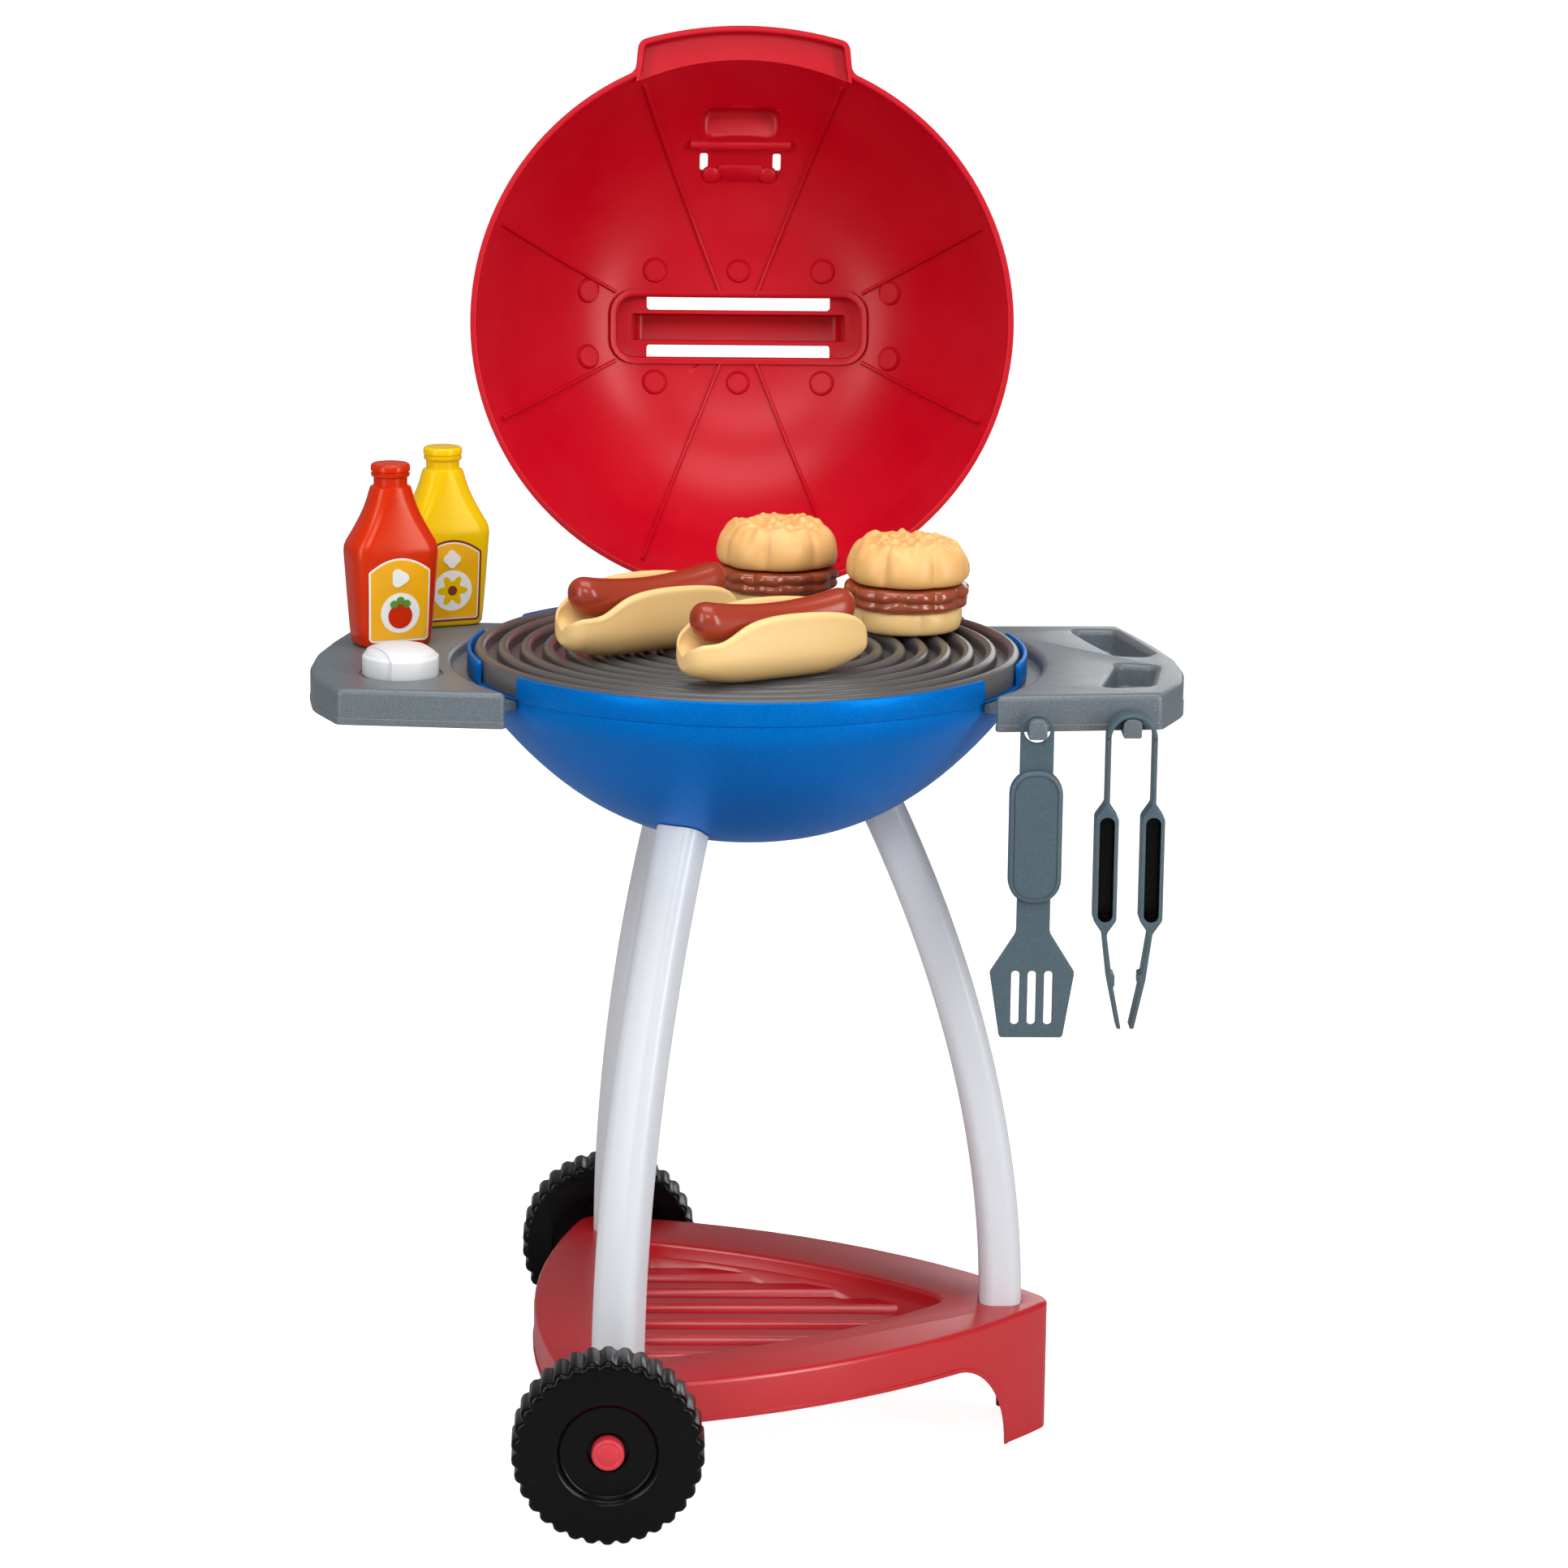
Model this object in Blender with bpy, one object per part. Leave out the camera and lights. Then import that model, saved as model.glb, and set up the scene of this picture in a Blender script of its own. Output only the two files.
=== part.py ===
# Toy barbecue grill: a kettle bowl on three curved legs over a wheeled base, with a hinged lid,
# two side trays, toy food, sauce bottles and hanging utensils.
# Units are metres and +Z is up. The front faces -Y and the tray with the hooks is at +X.
# Pieces are laid out round the bowl's upright axis, and one empty centres the whole on the origin.

import bpy
import bmesh
from math import asin, atan2, cos, pi, radians, sin, sqrt
from mathutils import Matrix, Vector

# Clearances
TOUCH_GAP = 0.0003
RUN_GAP = 0.0006
OVERRUN = 0.004

# Facets: sides of a round piece, by its size
BIG_ROUND = 40
HUB_ROUND = 32
KNOB_ROUND = 28
MID_ROUND = 24
AXLE_ROUND = 16
SMALL_ROUND = 10
SCREW_ROUND = 8
# How far in from its corner a round edge lies at its middle, as a share of its radius
ROUND_EDGE_SHARE = 0.3

# Bowl
BOWL_RADIUS = 0.180
BOWL_RIM_Z = 0.526
BOWL_DEPTH = 0.1225
BOWL_CURVE_POWER = 2.45
BOWL_WALL = 0.0026
RIM_BAND = 0.0150
RIM_STEP = 0.0016
BOWL_COLLAR = 0.0070
LEDGE_WIDTH = 0.0039
NOTCH_START = radians(17)
NOTCH_END = radians(35.4)

# Cooking grate
GRATE_GAP = 0.0017
GRATE_CREST_RISE = 0.0010
GRATE_RINGS = 12
RING_WIDTH_SHARE = 0.56
GROOVE_DEPTH = 0.0080
GRATE_FLOOR = 0.0026

# Lid and its hinge
LID_OVERHANG = 0.0040
LID_HEIGHT = 0.1275
LID_WALL = 0.0026
LID_CURVE_POWER = 3.6
LID_REST_GAP = 0.0008
LID_OPEN = radians(99.3)
LID_LIP_WIDTH = 0.145
LID_LIP_REACH = 0.0160
LID_LIP_SAGITTA = 0.0105
LID_LIP_HEIGHT = 0.0110
LID_LIP_CORNER = 0.0070
HINGE_BEHIND = 0.0080
HINGE_BELOW = 0.0065
HINGE_X = 0.050
KNUCKLE_WIDTH = 0.0100
LUG_WIDTH = 0.0045
LUG_RADIUS = 0.0058
PIN_RADIUS = 0.0022

# Lid handle, a hollow bar with a finger slot on each long side
HANDLE_LENGTH = 0.178
HANDLE_TOP_LENGTH = 0.147
HANDLE_WIDTH = 0.0240
HANDLE_RISE = 0.0240
HANDLE_WALL = 0.0026
SLOT_LENGTH = 0.128
SLOT_WIDTH = 0.0110

# Lid vent, a shallow hood with two small holes
VENT_INSET = 0.0460
VENT_WIDTH = 0.056
VENT_LENGTH = 0.026
VENT_RISE = 0.0060
VENT_HOLE_WIDTH = 0.0055
VENT_HOLE_LENGTH = 0.0110

# Side trays
TRAY_TOP_Z = 0.518
TRAY_THICKNESS = 0.0230
TRAY_WIDTH = 0.0900
TRAY_HALF_DEPTH = 0.117
TRAY_BOWL_GAP = 0.0095
TRAY_WALL = 0.0028
TRAY_EDGE_RADIUS = 0.0040
FLANGE_THICKNESS = 0.0056
FLANGE_ANGLE = radians(35)
TRAY_SCREW_ANGLE = radians(24)
POCKET_DEPTH = 0.0170
POCKET_FLARE = 0.0035

# Legs
LEG_FOOT_RADIUS = 0.1718
LEG_LEAN = 0.0752
LEG_CURVE_POWER = 1.9
LEG_ANGLE = radians(118)
LEG_RADIAL = 0.0275
LEG_TANGENTIAL = 0.0310
LEG_SOCKET_DEPTH = 0.0170

# Base with its foot
BASE_TOP_Z = 0.087
BASE_SKIRT = 0.0270
BASE_WALL = 0.0030
BASE_EDGE_RADIUS = 0.0030
BASE_APEX_X = 0.2075
BASE_LEFT_X = -0.1040
BASE_HALF_DEPTH = 0.1860
BASE_SIDE_BULGE = 0.0370
BASE_LEFT_BULGE = 0.0320
BASE_CORNER_RADIUS = 0.0160
RECESS_DEPTH = 0.0180
RECESS_APEX_X = 0.1380
RECESS_LEFT_X = -0.0700
RECESS_HALF_DEPTH = 0.1260
RECESS_BULGE = 0.0170
RECESS_CORNER_RADIUS = 0.0150
RIB_PITCH = 0.0330
RIB_WIDTH = 0.0170
RIB_HEIGHT = 0.0050
ARCH_START_X = 0.1400
ARCH_REACH = 0.0340

# Wheels and axle
WHEEL_RADIUS = 0.0603
WHEEL_WIDTH = 0.0355
WHEEL_GAP = 0.0108
WHEEL_X = -0.0866
LUMPS = 34
LUMP_DEPTH = 0.0026
HUB_RADIUS = 0.0330
HUB_DEPTH = 0.0050
WELL_RADIUS = 0.0125
WELL_DEPTH = 0.0045
BACK_HOLLOW_RADIUS = 0.0400
BACK_HOLLOW_DEPTH = 0.0070
AXLE_RADIUS = 0.0040
AXLE_CAP_RADIUS = 0.0102
AXLE_CAP_PROUD = 0.0020
AXLE_BOSS_RADIUS = 0.0130

# Control knob
KNOB_RADIUS = 0.0257
KNOB_INSET = 0.0310
KNOB_Y = -0.0527
KNOB_SIDE = 0.0125
KNOB_DOME = 0.0065
KNOB_STEM_RADIUS = 0.0070
KNOB_HOLE_GAP = 0.0008
KNOB_CLIP_RADIUS = 0.0120
KNOB_CLIP_THICKNESS = 0.0030
KNOB_GRIP_STEP = 0.0014
KNOB_GRIP_WIDTH = 0.0320
KNOB_TURN = radians(28)

# Screws
SCREW_HEAD_RADIUS = 0.0032
SCREW_HEAD_HEIGHT = 0.0020
SCREW_SHANK_RADIUS = 0.0016
TRAY_SCREW_LENGTH = 0.0140
LEG_SCREW_LENGTH = 0.0180
KNOB_SCREW_LENGTH = 0.0100

# Hooks and hanging utensils
HOOK_WIDTH = 0.0115
HOOK_HEIGHT = 0.0125
HOOK_LENGTH = 0.0180
HOOK_TOP_Z = 0.5060
HOOK_CORNER_RADIUS = 0.0042
SPATULA_HOOK_INSET = 0.0294
HOOK_PITCH = 0.0595
SPATULA_RING_RADIUS = 0.0102
SPATULA_HOLE_RADIUS = 0.0084
SPATULA_THICKNESS = 0.0028
SPATULA_STRAP_WIDTH = 0.0212
SPATULA_GRIP_WIDTH = 0.0334
SPATULA_GRIP_THICKNESS = 0.0075
SPATULA_BLADE_WIDTH = 0.0536
SPATULA_EDGE_WIDTH = 0.0400
SPATULA_DROP = 0.1985
SPATULA_SLOT_WIDTH = 0.0052
SPATULA_SLOT_LENGTH = 0.0350
TONGS_BAND = 0.0026
TONGS_DEPTH = 0.0165
TONGS_BOW_RADIUS = 0.0158
TONGS_DROP = 0.1870
TONGS_GRIP_WIDTH = 0.0145
TONGS_TIP_GAP = 0.0056

# Toy food
BURGER_RADIUS = 0.0410
TOP_BUN_HEIGHT = 0.0320
PATTY_HEIGHT = 0.0150
PATTY_RADIUS = 0.0425
BOTTOM_BUN_HEIGHT = 0.0160
BOTTOM_BUN_RADIUS = 0.0375
BUN_LENGTH = 0.1320
BUN_WIDTH = 0.0460
BUN_HEIGHT = 0.0440
BUN_WALL = 0.0055
BUN_FLOOR = 0.0225
BUN_END_DROP = 0.0220
BUN_TALL_SIDE = 0.0040
SAUSAGE_LENGTH = 0.1180
SAUSAGE_RADIUS = 0.0114
SAUSAGE_BOW = 0.0060

# Sauce bottles
BOTTLE_HEIGHT = 0.1180
BOTTLE_WIDTH = 0.0590
BOTTLE_THICKNESS = 0.0350
BOTTLE_NECK_RADIUS = 0.0128

# Sizes that follow from the ones above
DOME_RADIUS = BOWL_RADIUS - RIM_STEP
DOME_TOP_Z = BOWL_RIM_Z - RIM_BAND - BOWL_COLLAR
BOWL_BOTTOM_Z = BOWL_RIM_Z - BOWL_DEPTH
NOTCH_FLOOR_Z = BOWL_RIM_Z - RIM_BAND
LEDGE_RADIUS = BOWL_RADIUS - BOWL_WALL - LEDGE_WIDTH
GRATE_RADIUS = BOWL_RADIUS - BOWL_WALL - GRATE_GAP
GRATE_BOTTOM_Z = NOTCH_FLOOR_Z + TOUCH_GAP
GRATE_CREST_Z = BOWL_RIM_Z + GRATE_CREST_RISE
FOOD_Z = GRATE_CREST_Z + TOUCH_GAP
LID_RIM_Z = BOWL_RIM_Z + LID_REST_GAP
LID_RADIUS = BOWL_RADIUS + LID_OVERHANG
VENT_RADIUS = LID_RADIUS - VENT_INSET
HINGE_Y = BOWL_RADIUS + HINGE_BEHIND
HINGE_Z = BOWL_RIM_Z - HINGE_BELOW
TRAY_INNER_RADIUS = BOWL_RADIUS + TRAY_BOWL_GAP
TRAY_REACH = TRAY_INNER_RADIUS + TRAY_WIDTH
TRAY_NEAR_X = sqrt(TRAY_INNER_RADIUS ** 2 - TRAY_HALF_DEPTH ** 2)
SPATULA_HOOK_X = TRAY_NEAR_X + SPATULA_HOOK_INSET
TONGS_HOOK_X = SPATULA_HOOK_X + HOOK_PITCH
KNOB_X = -TRAY_INNER_RADIUS - KNOB_INSET
TRAY_BOTTOM_Z = TRAY_TOP_Z - TRAY_THICKNESS
FLANGE_Z = DOME_TOP_Z + (BOWL_COLLAR - FLANGE_THICKNESS) / 2
BASE_SKIRT_Z = BASE_TOP_Z - BASE_SKIRT
RECESS_FLOOR_Z = BASE_TOP_Z - RECESS_DEPTH
WHEEL_INNER_Y = BASE_HALF_DEPTH + WHEEL_GAP
WHEEL_OUTER_Y = WHEEL_INNER_Y + WHEEL_WIDTH
FRONT_REACH = WHEEL_OUTER_Y + AXLE_CAP_PROUD
LID_TOP_Z = LID_RIM_Z + LID_HEIGHT + HANDLE_RISE
BACK_REACH = (HINGE_Y - HINGE_Y * cos(LID_OPEN) + (LID_TOP_Z - HINGE_Z) * sin(LID_OPEN)
              + HANDLE_WIDTH / 2 * abs(cos(LID_OPEN)))
CENTRE_Y = (FRONT_REACH - BACK_REACH) / 2

# Colours, roughness and metallic value of each finish
FINISHES = {
    "red": ((0.52, 0.010, 0.018), 0.35, 0.0),
    "blue": ((0.0, 0.12, 0.44), 0.38, 0.1),
    "tray_grey": ((0.17, 0.20, 0.23), 0.45, 0.0),
    "grate_grey": ((0.23, 0.20, 0.19), 0.45, 0.0),
    "utensil_grey": ((0.075, 0.125, 0.155), 0.5, 0.0),
    "white": ((0.80, 0.81, 0.84), 0.35, 0.0),
    "black": ((0.012, 0.012, 0.014), 0.45, 0.0),
    "steel": ((0.55, 0.55, 0.55), 0.3, 1.0),
    "cap_red": ((0.70, 0.05, 0.07), 0.4, 0.0),
    "ketchup": ((0.75, 0.04, 0.01), 0.35, 0.0),
    "mustard": ((0.83, 0.60, 0.0), 0.35, 0.0),
    "bun": ((0.80, 0.55, 0.22), 0.5, 0.0),
    "sausage": ((0.22, 0.030, 0.016), 0.35, 0.0),
    "patty": ((0.16, 0.035, 0.018), 0.35, 0.0),
}


# Mesh and object helpers

def loft(rings, closed=False):
    """A closed surface through rings of points, where a ring of one point is a pole."""
    shape = bmesh.new()
    loops = [[shape.verts.new(point) for point in ring] for ring in rings]
    pairs = list(zip(loops, loops[1:]))
    if closed:
        pairs.append((loops[-1], loops[0]))
    for low, high in pairs:
        for i in range(max(len(low), len(high))):
            j = (i + 1) % max(len(low), len(high))
            corners = [low[i % len(low)], low[j % len(low)], high[j % len(high)], high[i % len(high)]]
            shape.faces.new(dict.fromkeys(corners))
    if not closed:
        for cap in (loops[0], loops[-1]):
            if len(cap) > 2:
                shape.faces.new(cap)
    bmesh.ops.recalc_face_normals(shape, faces=shape.faces)
    mesh = bpy.data.meshes.new("shape")
    shape.to_mesh(mesh)
    shape.free()
    return mesh


def circle(radius, sides, start=0.0):
    return [(radius * cos(start + 2 * pi * i / sides), radius * sin(start + 2 * pi * i / sides))
            for i in range(sides)]


def revolved(profile, sides, closed=False):
    """A turned shape about Z from (radius, height) pairs."""
    rings = []
    for radius, height in profile:
        if radius == 0:
            rings.append([(0, 0, height)])
        else:
            rings.append([(x, y, height) for x, y in circle(radius, sides)])
    return loft(rings, closed)


def grown(outline, distance):
    """The outline, run anticlockwise, moved outwards by a distance."""
    moved = []
    for i, point in enumerate(outline):
        here = Vector(point)
        before = (here - Vector(outline[i - 1])).normalized()
        after = (Vector(outline[(i + 1) % len(outline)]) - here).normalized()
        side_before = Vector((before.y, -before.x))
        side_after = Vector((after.y, -after.x))
        mitre = (side_before + side_after) / (1 + side_before.dot(side_after))
        moved.append(tuple(here + mitre * distance))
    return moved


def stacked(outline, levels):
    """An upright shape through copies of an outline, each given as (growth, height)."""
    return loft([[(x, y, height) for x, y in grown(outline, growth)] for growth, height in levels])


def rounded_box_outline(length, width, radius, steps=3):
    """A rectangle with round corners, anticlockwise and centred."""
    points = []
    for quarter, (side_x, side_y) in enumerate(((1, 1), (-1, 1), (-1, -1), (1, -1))):
        centre_x = side_x * (length / 2 - radius)
        centre_y = side_y * (width / 2 - radius)
        for i in range(steps + 1):
            angle = pi / 2 * (quarter + i / steps)
            points.append((centre_x + radius * cos(angle), centre_y + radius * sin(angle)))
    return points


def arc_between(start, end, bulge, steps):
    """Points from start up to, but not with, end, on an arc that bulges to the right of the way."""
    start = Vector(start)
    end = Vector(end)
    along = end - start
    side = Vector((along.y, -along.x)).normalized()
    return [tuple(start + along * share + side * bulge * 4 * share * (1 - share))
            for share in (i / steps for i in range(steps))]


def softened_corners(outline, corners, radius, steps=4):
    """The outline with the numbered corners replaced by round ones that start a radius away."""
    points = []
    for i, point in enumerate(outline):
        if i not in corners:
            points.append(point)
            continue
        here = Vector(point)
        back = here + (Vector(outline[i - 1]) - here).normalized() * radius
        ahead = here + (Vector(outline[(i + 1) % len(outline)]) - here).normalized() * radius
        for j in range(steps + 1):
            share = j / steps
            points.append(tuple(back * (1 - share) ** 2 + here * 2 * share * (1 - share)
                                + ahead * share ** 2))
    return points


def bulged_triangle(apex_x, left_x, half_depth, side_bulge, left_bulge, corner_radius, steps=8):
    """A triangle with bowed sides and one corner on +X, anticlockwise."""
    apex = (apex_x, 0)
    back = (left_x, half_depth)
    front = (left_x, -half_depth)
    outline = arc_between(apex, back, side_bulge, steps)
    outline += arc_between(back, front, left_bulge, steps)
    outline += arc_between(front, apex, side_bulge, steps)
    return softened_corners(outline, (0, steps, 2 * steps), corner_radius)


def new_object(name, mesh, parent=None, place=(0, 0, 0), turn=(0, 0, 0)):
    made = bpy.data.objects.new(name, mesh)
    bpy.context.scene.collection.objects.link(made)
    made.parent = parent
    made.location = place
    made.rotation_euler = turn
    return made


def moved(mesh, place=(0, 0, 0), turn_axis="Z", turn=0.0):
    """The mesh turned about an axis through zero and then shifted."""
    mesh.transform(Matrix.Translation(place) @ Matrix.Rotation(turn, 4, turn_axis))
    return mesh


def combined(mesh, tool, operation):
    """The mesh after an exact Boolean with another mesh."""
    body = new_object("body", mesh)
    cutter = new_object("cutter", tool)
    cutter.hide_render = True
    cutter.display_type = "WIRE"
    step = body.modifiers.new("Combine", "BOOLEAN")
    step.operation = operation
    step.solver = "EXACT"
    step.object = cutter
    graph = bpy.context.evaluated_depsgraph_get()
    result = bpy.data.meshes.new_from_object(body.evaluated_get(graph))
    bpy.data.objects.remove(body, do_unlink=True)
    bpy.data.objects.remove(cutter, do_unlink=True)
    return result


def cut(mesh, *tools):
    for tool in tools:
        mesh = combined(mesh, tool, "DIFFERENCE")
    return mesh


def joined(mesh, *others):
    for other in others:
        mesh = combined(mesh, other, "UNION")
    return mesh


def finished(name, mesh, finish, parent, place=(0, 0, 0), turn=(0, 0, 0), crease=35):
    """A named piece with its own material and smooth shading up to the crease angle in degrees."""
    colour, roughness, metallic = FINISHES[finish]
    surface = bpy.data.materials.new(name)
    surface.use_nodes = True
    shader = surface.node_tree.nodes["Principled BSDF"]
    shader.inputs["Base Color"].default_value = (*colour, 1)
    shader.inputs["Roughness"].default_value = roughness
    shader.inputs["Metallic"].default_value = metallic
    mesh.name = name
    mesh.materials.clear()
    mesh.materials.append(surface)
    mesh.shade_smooth()
    mesh.set_sharp_from_angle(angle=radians(crease))
    return new_object(name, mesh, parent, place, turn)


def cylinder(radius, start, end, sides=SMALL_ROUND):
    """A solid cylinder between two points."""
    start = Vector(start)
    end = Vector(end)
    along = end - start
    mesh = revolved([(0, 0), (radius, 0), (radius, along.length), (0, along.length)], sides)
    mesh.transform(Matrix.Translation(start) @ along.to_track_quat("Z", "Y").to_matrix().to_4x4())
    return mesh


def block(low, high):
    """A box between two opposite corners."""
    outline = [(low[0], low[1]), (high[0], low[1]), (high[0], high[1]), (low[0], high[1])]
    return loft([[(x, y, z) for x, y in outline] for z in (low[2], high[2])])


def sideways_prism(outline, start_x, end_x):
    """A prism along X from an outline of (y, z) pairs."""
    return loft([[(x, y, z) for y, z in outline] for x in (start_x, end_x)])


def screw(length):
    """A screw with its head's underside at zero and its shank down -Z."""
    return revolved([(0, -length), (SCREW_SHANK_RADIUS, -length), (SCREW_SHANK_RADIUS, 0),
                     (SCREW_HEAD_RADIUS, 0), (SCREW_HEAD_RADIUS, SCREW_HEAD_HEIGHT / 2),
                     (SCREW_HEAD_RADIUS / 2, SCREW_HEAD_HEIGHT), (0, SCREW_HEAD_HEIGHT)],
                    SCREW_ROUND)


def aimed(mesh, point, direction):
    """The mesh with its +Z turned to a direction and its zero moved to a point."""
    mesh.transform(Matrix.Translation(point)
                   @ Vector(direction).to_track_quat("Z", "Y").to_matrix().to_4x4())
    return mesh


# Bowl and grate

# The rings of the bowl's dome, as shares of its radius
DOME_SHARES = (0.3, 0.5, 0.68, 0.82, 0.92, 1.0)
# How far a leg screw's head sits above the bowl's outer surface, as a share of the wall's height
LEG_SCREW_SEAT_SHARE = 1.3


def dome_height(radius):
    """Height of the bowl's outer surface at a radius."""
    return BOWL_BOTTOM_Z + (DOME_TOP_Z - BOWL_BOTTOM_Z) * (radius / DOME_RADIUS) ** BOWL_CURVE_POWER


def inner_height(radius):
    """Height of the bowl's inner surface at a radius."""
    bottom = BOWL_BOTTOM_Z + BOWL_WALL
    return bottom + (DOME_TOP_Z - bottom) * (radius / LEDGE_RADIUS) ** BOWL_CURVE_POWER


def sector(inner, outer, start, end, low, high, steps=6):
    """A curved block between two radii, two angles and two heights."""
    angles = [start + (end - start) * i / steps for i in range(steps + 1)]
    outline = [(outer * cos(a), outer * sin(a)) for a in angles]
    outline += [(inner * cos(a), inner * sin(a)) for a in reversed(angles)]
    return loft([[(x, y, z) for x, y in outline] for z in (low, high)])


def lug_outline(root_y, radius, centre_y, centre_z, steps=6):
    """A tab from root_y back to a round end about the hinge, as (y, z) pairs."""
    outline = [(root_y, centre_z - radius)]
    for i in range(steps + 1):
        angle = pi * (i / steps - 1 / 2)
        outline.append((centre_y + radius * cos(angle), centre_z + radius * sin(angle)))
    outline.append((root_y, centre_z + radius))
    return outline


def leg_screw_frame(angle):
    """Where a leg's centre line meets the bowl, the line's direction there and the wall's height."""
    height = BOWL_BOTTOM_Z
    for _ in range(40):
        height = dome_height(leg_radius_at(height))
    step = LEG_RADIAL / 4
    lean = leg_radius_at(height) - leg_radius_at(height - step)
    radius = leg_radius_at(height)
    point = Vector((radius * cos(angle), radius * sin(angle), height))
    direction = Vector((lean * cos(angle), lean * sin(angle), step)).normalized()
    return point, direction, inner_height(radius) - dome_height(radius)


def tray_screw_frame(side, angle):
    """Where a tray screw's head meets the collar inside the bowl, and the way to its head."""
    around = angle if side > 0 else pi - angle
    outward = Vector((cos(around), sin(around), 0))
    inner = LEDGE_RADIUS * cos(pi / BIG_ROUND)
    point = outward * (inner - TOUCH_GAP) + Vector((0, 0, FLANGE_Z + FLANGE_THICKNESS / 2))
    return point, -outward


def hinge_lug_centres():
    offset = (KNUCKLE_WIDTH + LUG_WIDTH) / 2 + RUN_GAP
    return [side * HINGE_X + way * offset for side in (-1, 1) for way in (-1, 1)]


def bowl_mesh():
    outer = [(0, BOWL_BOTTOM_Z)]
    outer += [(DOME_RADIUS * s, dome_height(DOME_RADIUS * s)) for s in DOME_SHARES]
    outer += [(DOME_RADIUS, NOTCH_FLOOR_Z), (BOWL_RADIUS, NOTCH_FLOOR_Z), (BOWL_RADIUS, BOWL_RIM_Z)]
    inner = [(LEDGE_RADIUS * s, inner_height(LEDGE_RADIUS * s)) for s in DOME_SHARES]
    ledge = [(BOWL_RADIUS - BOWL_WALL, BOWL_RIM_Z), (BOWL_RADIUS - BOWL_WALL, NOTCH_FLOOR_Z),
             (LEDGE_RADIUS, NOTCH_FLOOR_Z)]
    mesh = revolved(outer + ledge + list(reversed(inner)) + [(0, inner_height(0))], BIG_ROUND)
    for x in hinge_lug_centres():
        root_y = sqrt((BOWL_RADIUS - BOWL_WALL / 2) ** 2 - x ** 2)
        outline = lug_outline(root_y, LUG_RADIUS, HINGE_Y, HINGE_Z)
        mesh = joined(mesh, sideways_prism(outline, x - LUG_WIDTH / 2, x + LUG_WIDTH / 2))
    for side in (-1, 1):
        reach = (KNUCKLE_WIDTH / 2 + LUG_WIDTH) + OVERRUN
        mesh = cut(mesh, cylinder(PIN_RADIUS + TOUCH_GAP, (side * HINGE_X - reach, HINGE_Y, HINGE_Z),
                                  (side * HINGE_X + reach, HINGE_Y, HINGE_Z)))
    for middle in (0, pi):
        for way in (-1, 1):
            ends = sorted((middle + way * NOTCH_START, middle + way * NOTCH_END))
            mesh = cut(mesh, sector(LEDGE_RADIUS, BOWL_RADIUS + OVERRUN, ends[0], ends[1],
                                    NOTCH_FLOOR_Z + TOUCH_GAP, BOWL_RIM_Z + OVERRUN))
    for angle in (0, LEG_ANGLE, -LEG_ANGLE):
        point, direction, wall = leg_screw_frame(angle)
        reach = direction * (wall + OVERRUN)
        mesh = cut(mesh, cylinder(SCREW_SHANK_RADIUS + TOUCH_GAP, point - reach, point + reach))
    for side in (-1, 1):
        for angle in (-TRAY_SCREW_ANGLE, TRAY_SCREW_ANGLE):
            point, inward = tray_screw_frame(side, angle)
            mesh = cut(mesh, cylinder(SCREW_SHANK_RADIUS + TOUCH_GAP, point + inward * OVERRUN,
                                      point - inward * (DOME_RADIUS - LEDGE_RADIUS + OVERRUN)))
    return mesh


def grate_mesh():
    pitch = GRATE_RADIUS / GRATE_RINGS
    half = pitch * RING_WIDTH_SHARE / 2
    groove_z = GRATE_CREST_Z - GROOVE_DEPTH
    profile = [(0, groove_z)]
    for ring in range(GRATE_RINGS):
        centre = pitch * (ring + 1) - half
        profile += [(centre - half, groove_z), (centre - half / 2, GRATE_CREST_Z),
                    (centre + half / 2, GRATE_CREST_Z)]
    profile += [(GRATE_RADIUS, groove_z), (GRATE_RADIUS, GRATE_BOTTOM_Z),
                (GRATE_RADIUS - 2 * GRATE_FLOOR, GRATE_BOTTOM_Z),
                (GRATE_RADIUS - 2 * GRATE_FLOOR, groove_z - GRATE_FLOOR), (0, groove_z - GRATE_FLOOR)]
    return revolved(profile, BIG_ROUND)


# Lid, built closed about the hinge line

# The rings of the lid's dome, as shares of its radius
LID_SHARES = (1.0, 0.96, 0.88, 0.76, 0.60, 0.36)
# How far the hinge tab's edge runs round the pin, from the side towards the bowl
KNUCKLE_SWEEP = radians(225)


def lid_profile(radius, height):
    return [(radius * s, LID_RIM_Z + height * (1 - s ** LID_CURVE_POWER)) for s in LID_SHARES]


def lid_height_at(radius):
    return LID_RIM_Z + LID_HEIGHT * (1 - (radius / LID_RADIUS) ** LID_CURVE_POWER)


def lip_outline(steps=8):
    """The lip seen from above: a bowed front edge with round corners, and the rim's arc behind."""
    half = LID_LIP_WIDTH / 2
    root = LID_RADIUS - LID_WALL / 2
    spread = asin(half / root)
    inner = [(-root * sin(a), -root * cos(a)) for a in
             (spread * (2 * i / steps - 1) for i in range(steps + 1))]
    corner_y = LID_LIP_SAGITTA - LID_RADIUS - LID_LIP_REACH
    outer = arc_between((-half, corner_y), (half, corner_y), LID_LIP_SAGITTA, steps)
    outer.append((half, corner_y))
    return softened_corners(outer + inner, (0, steps), LID_LIP_CORNER)


def handle_block(length, top_length, width, low, high):
    rings = []
    for size, height in ((length, low), (top_length, high)):
        outline = rounded_box_outline(size, width, width / 3)
        rings.append([(x, y, height) for x, y in outline])
    return loft(rings)


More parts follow.
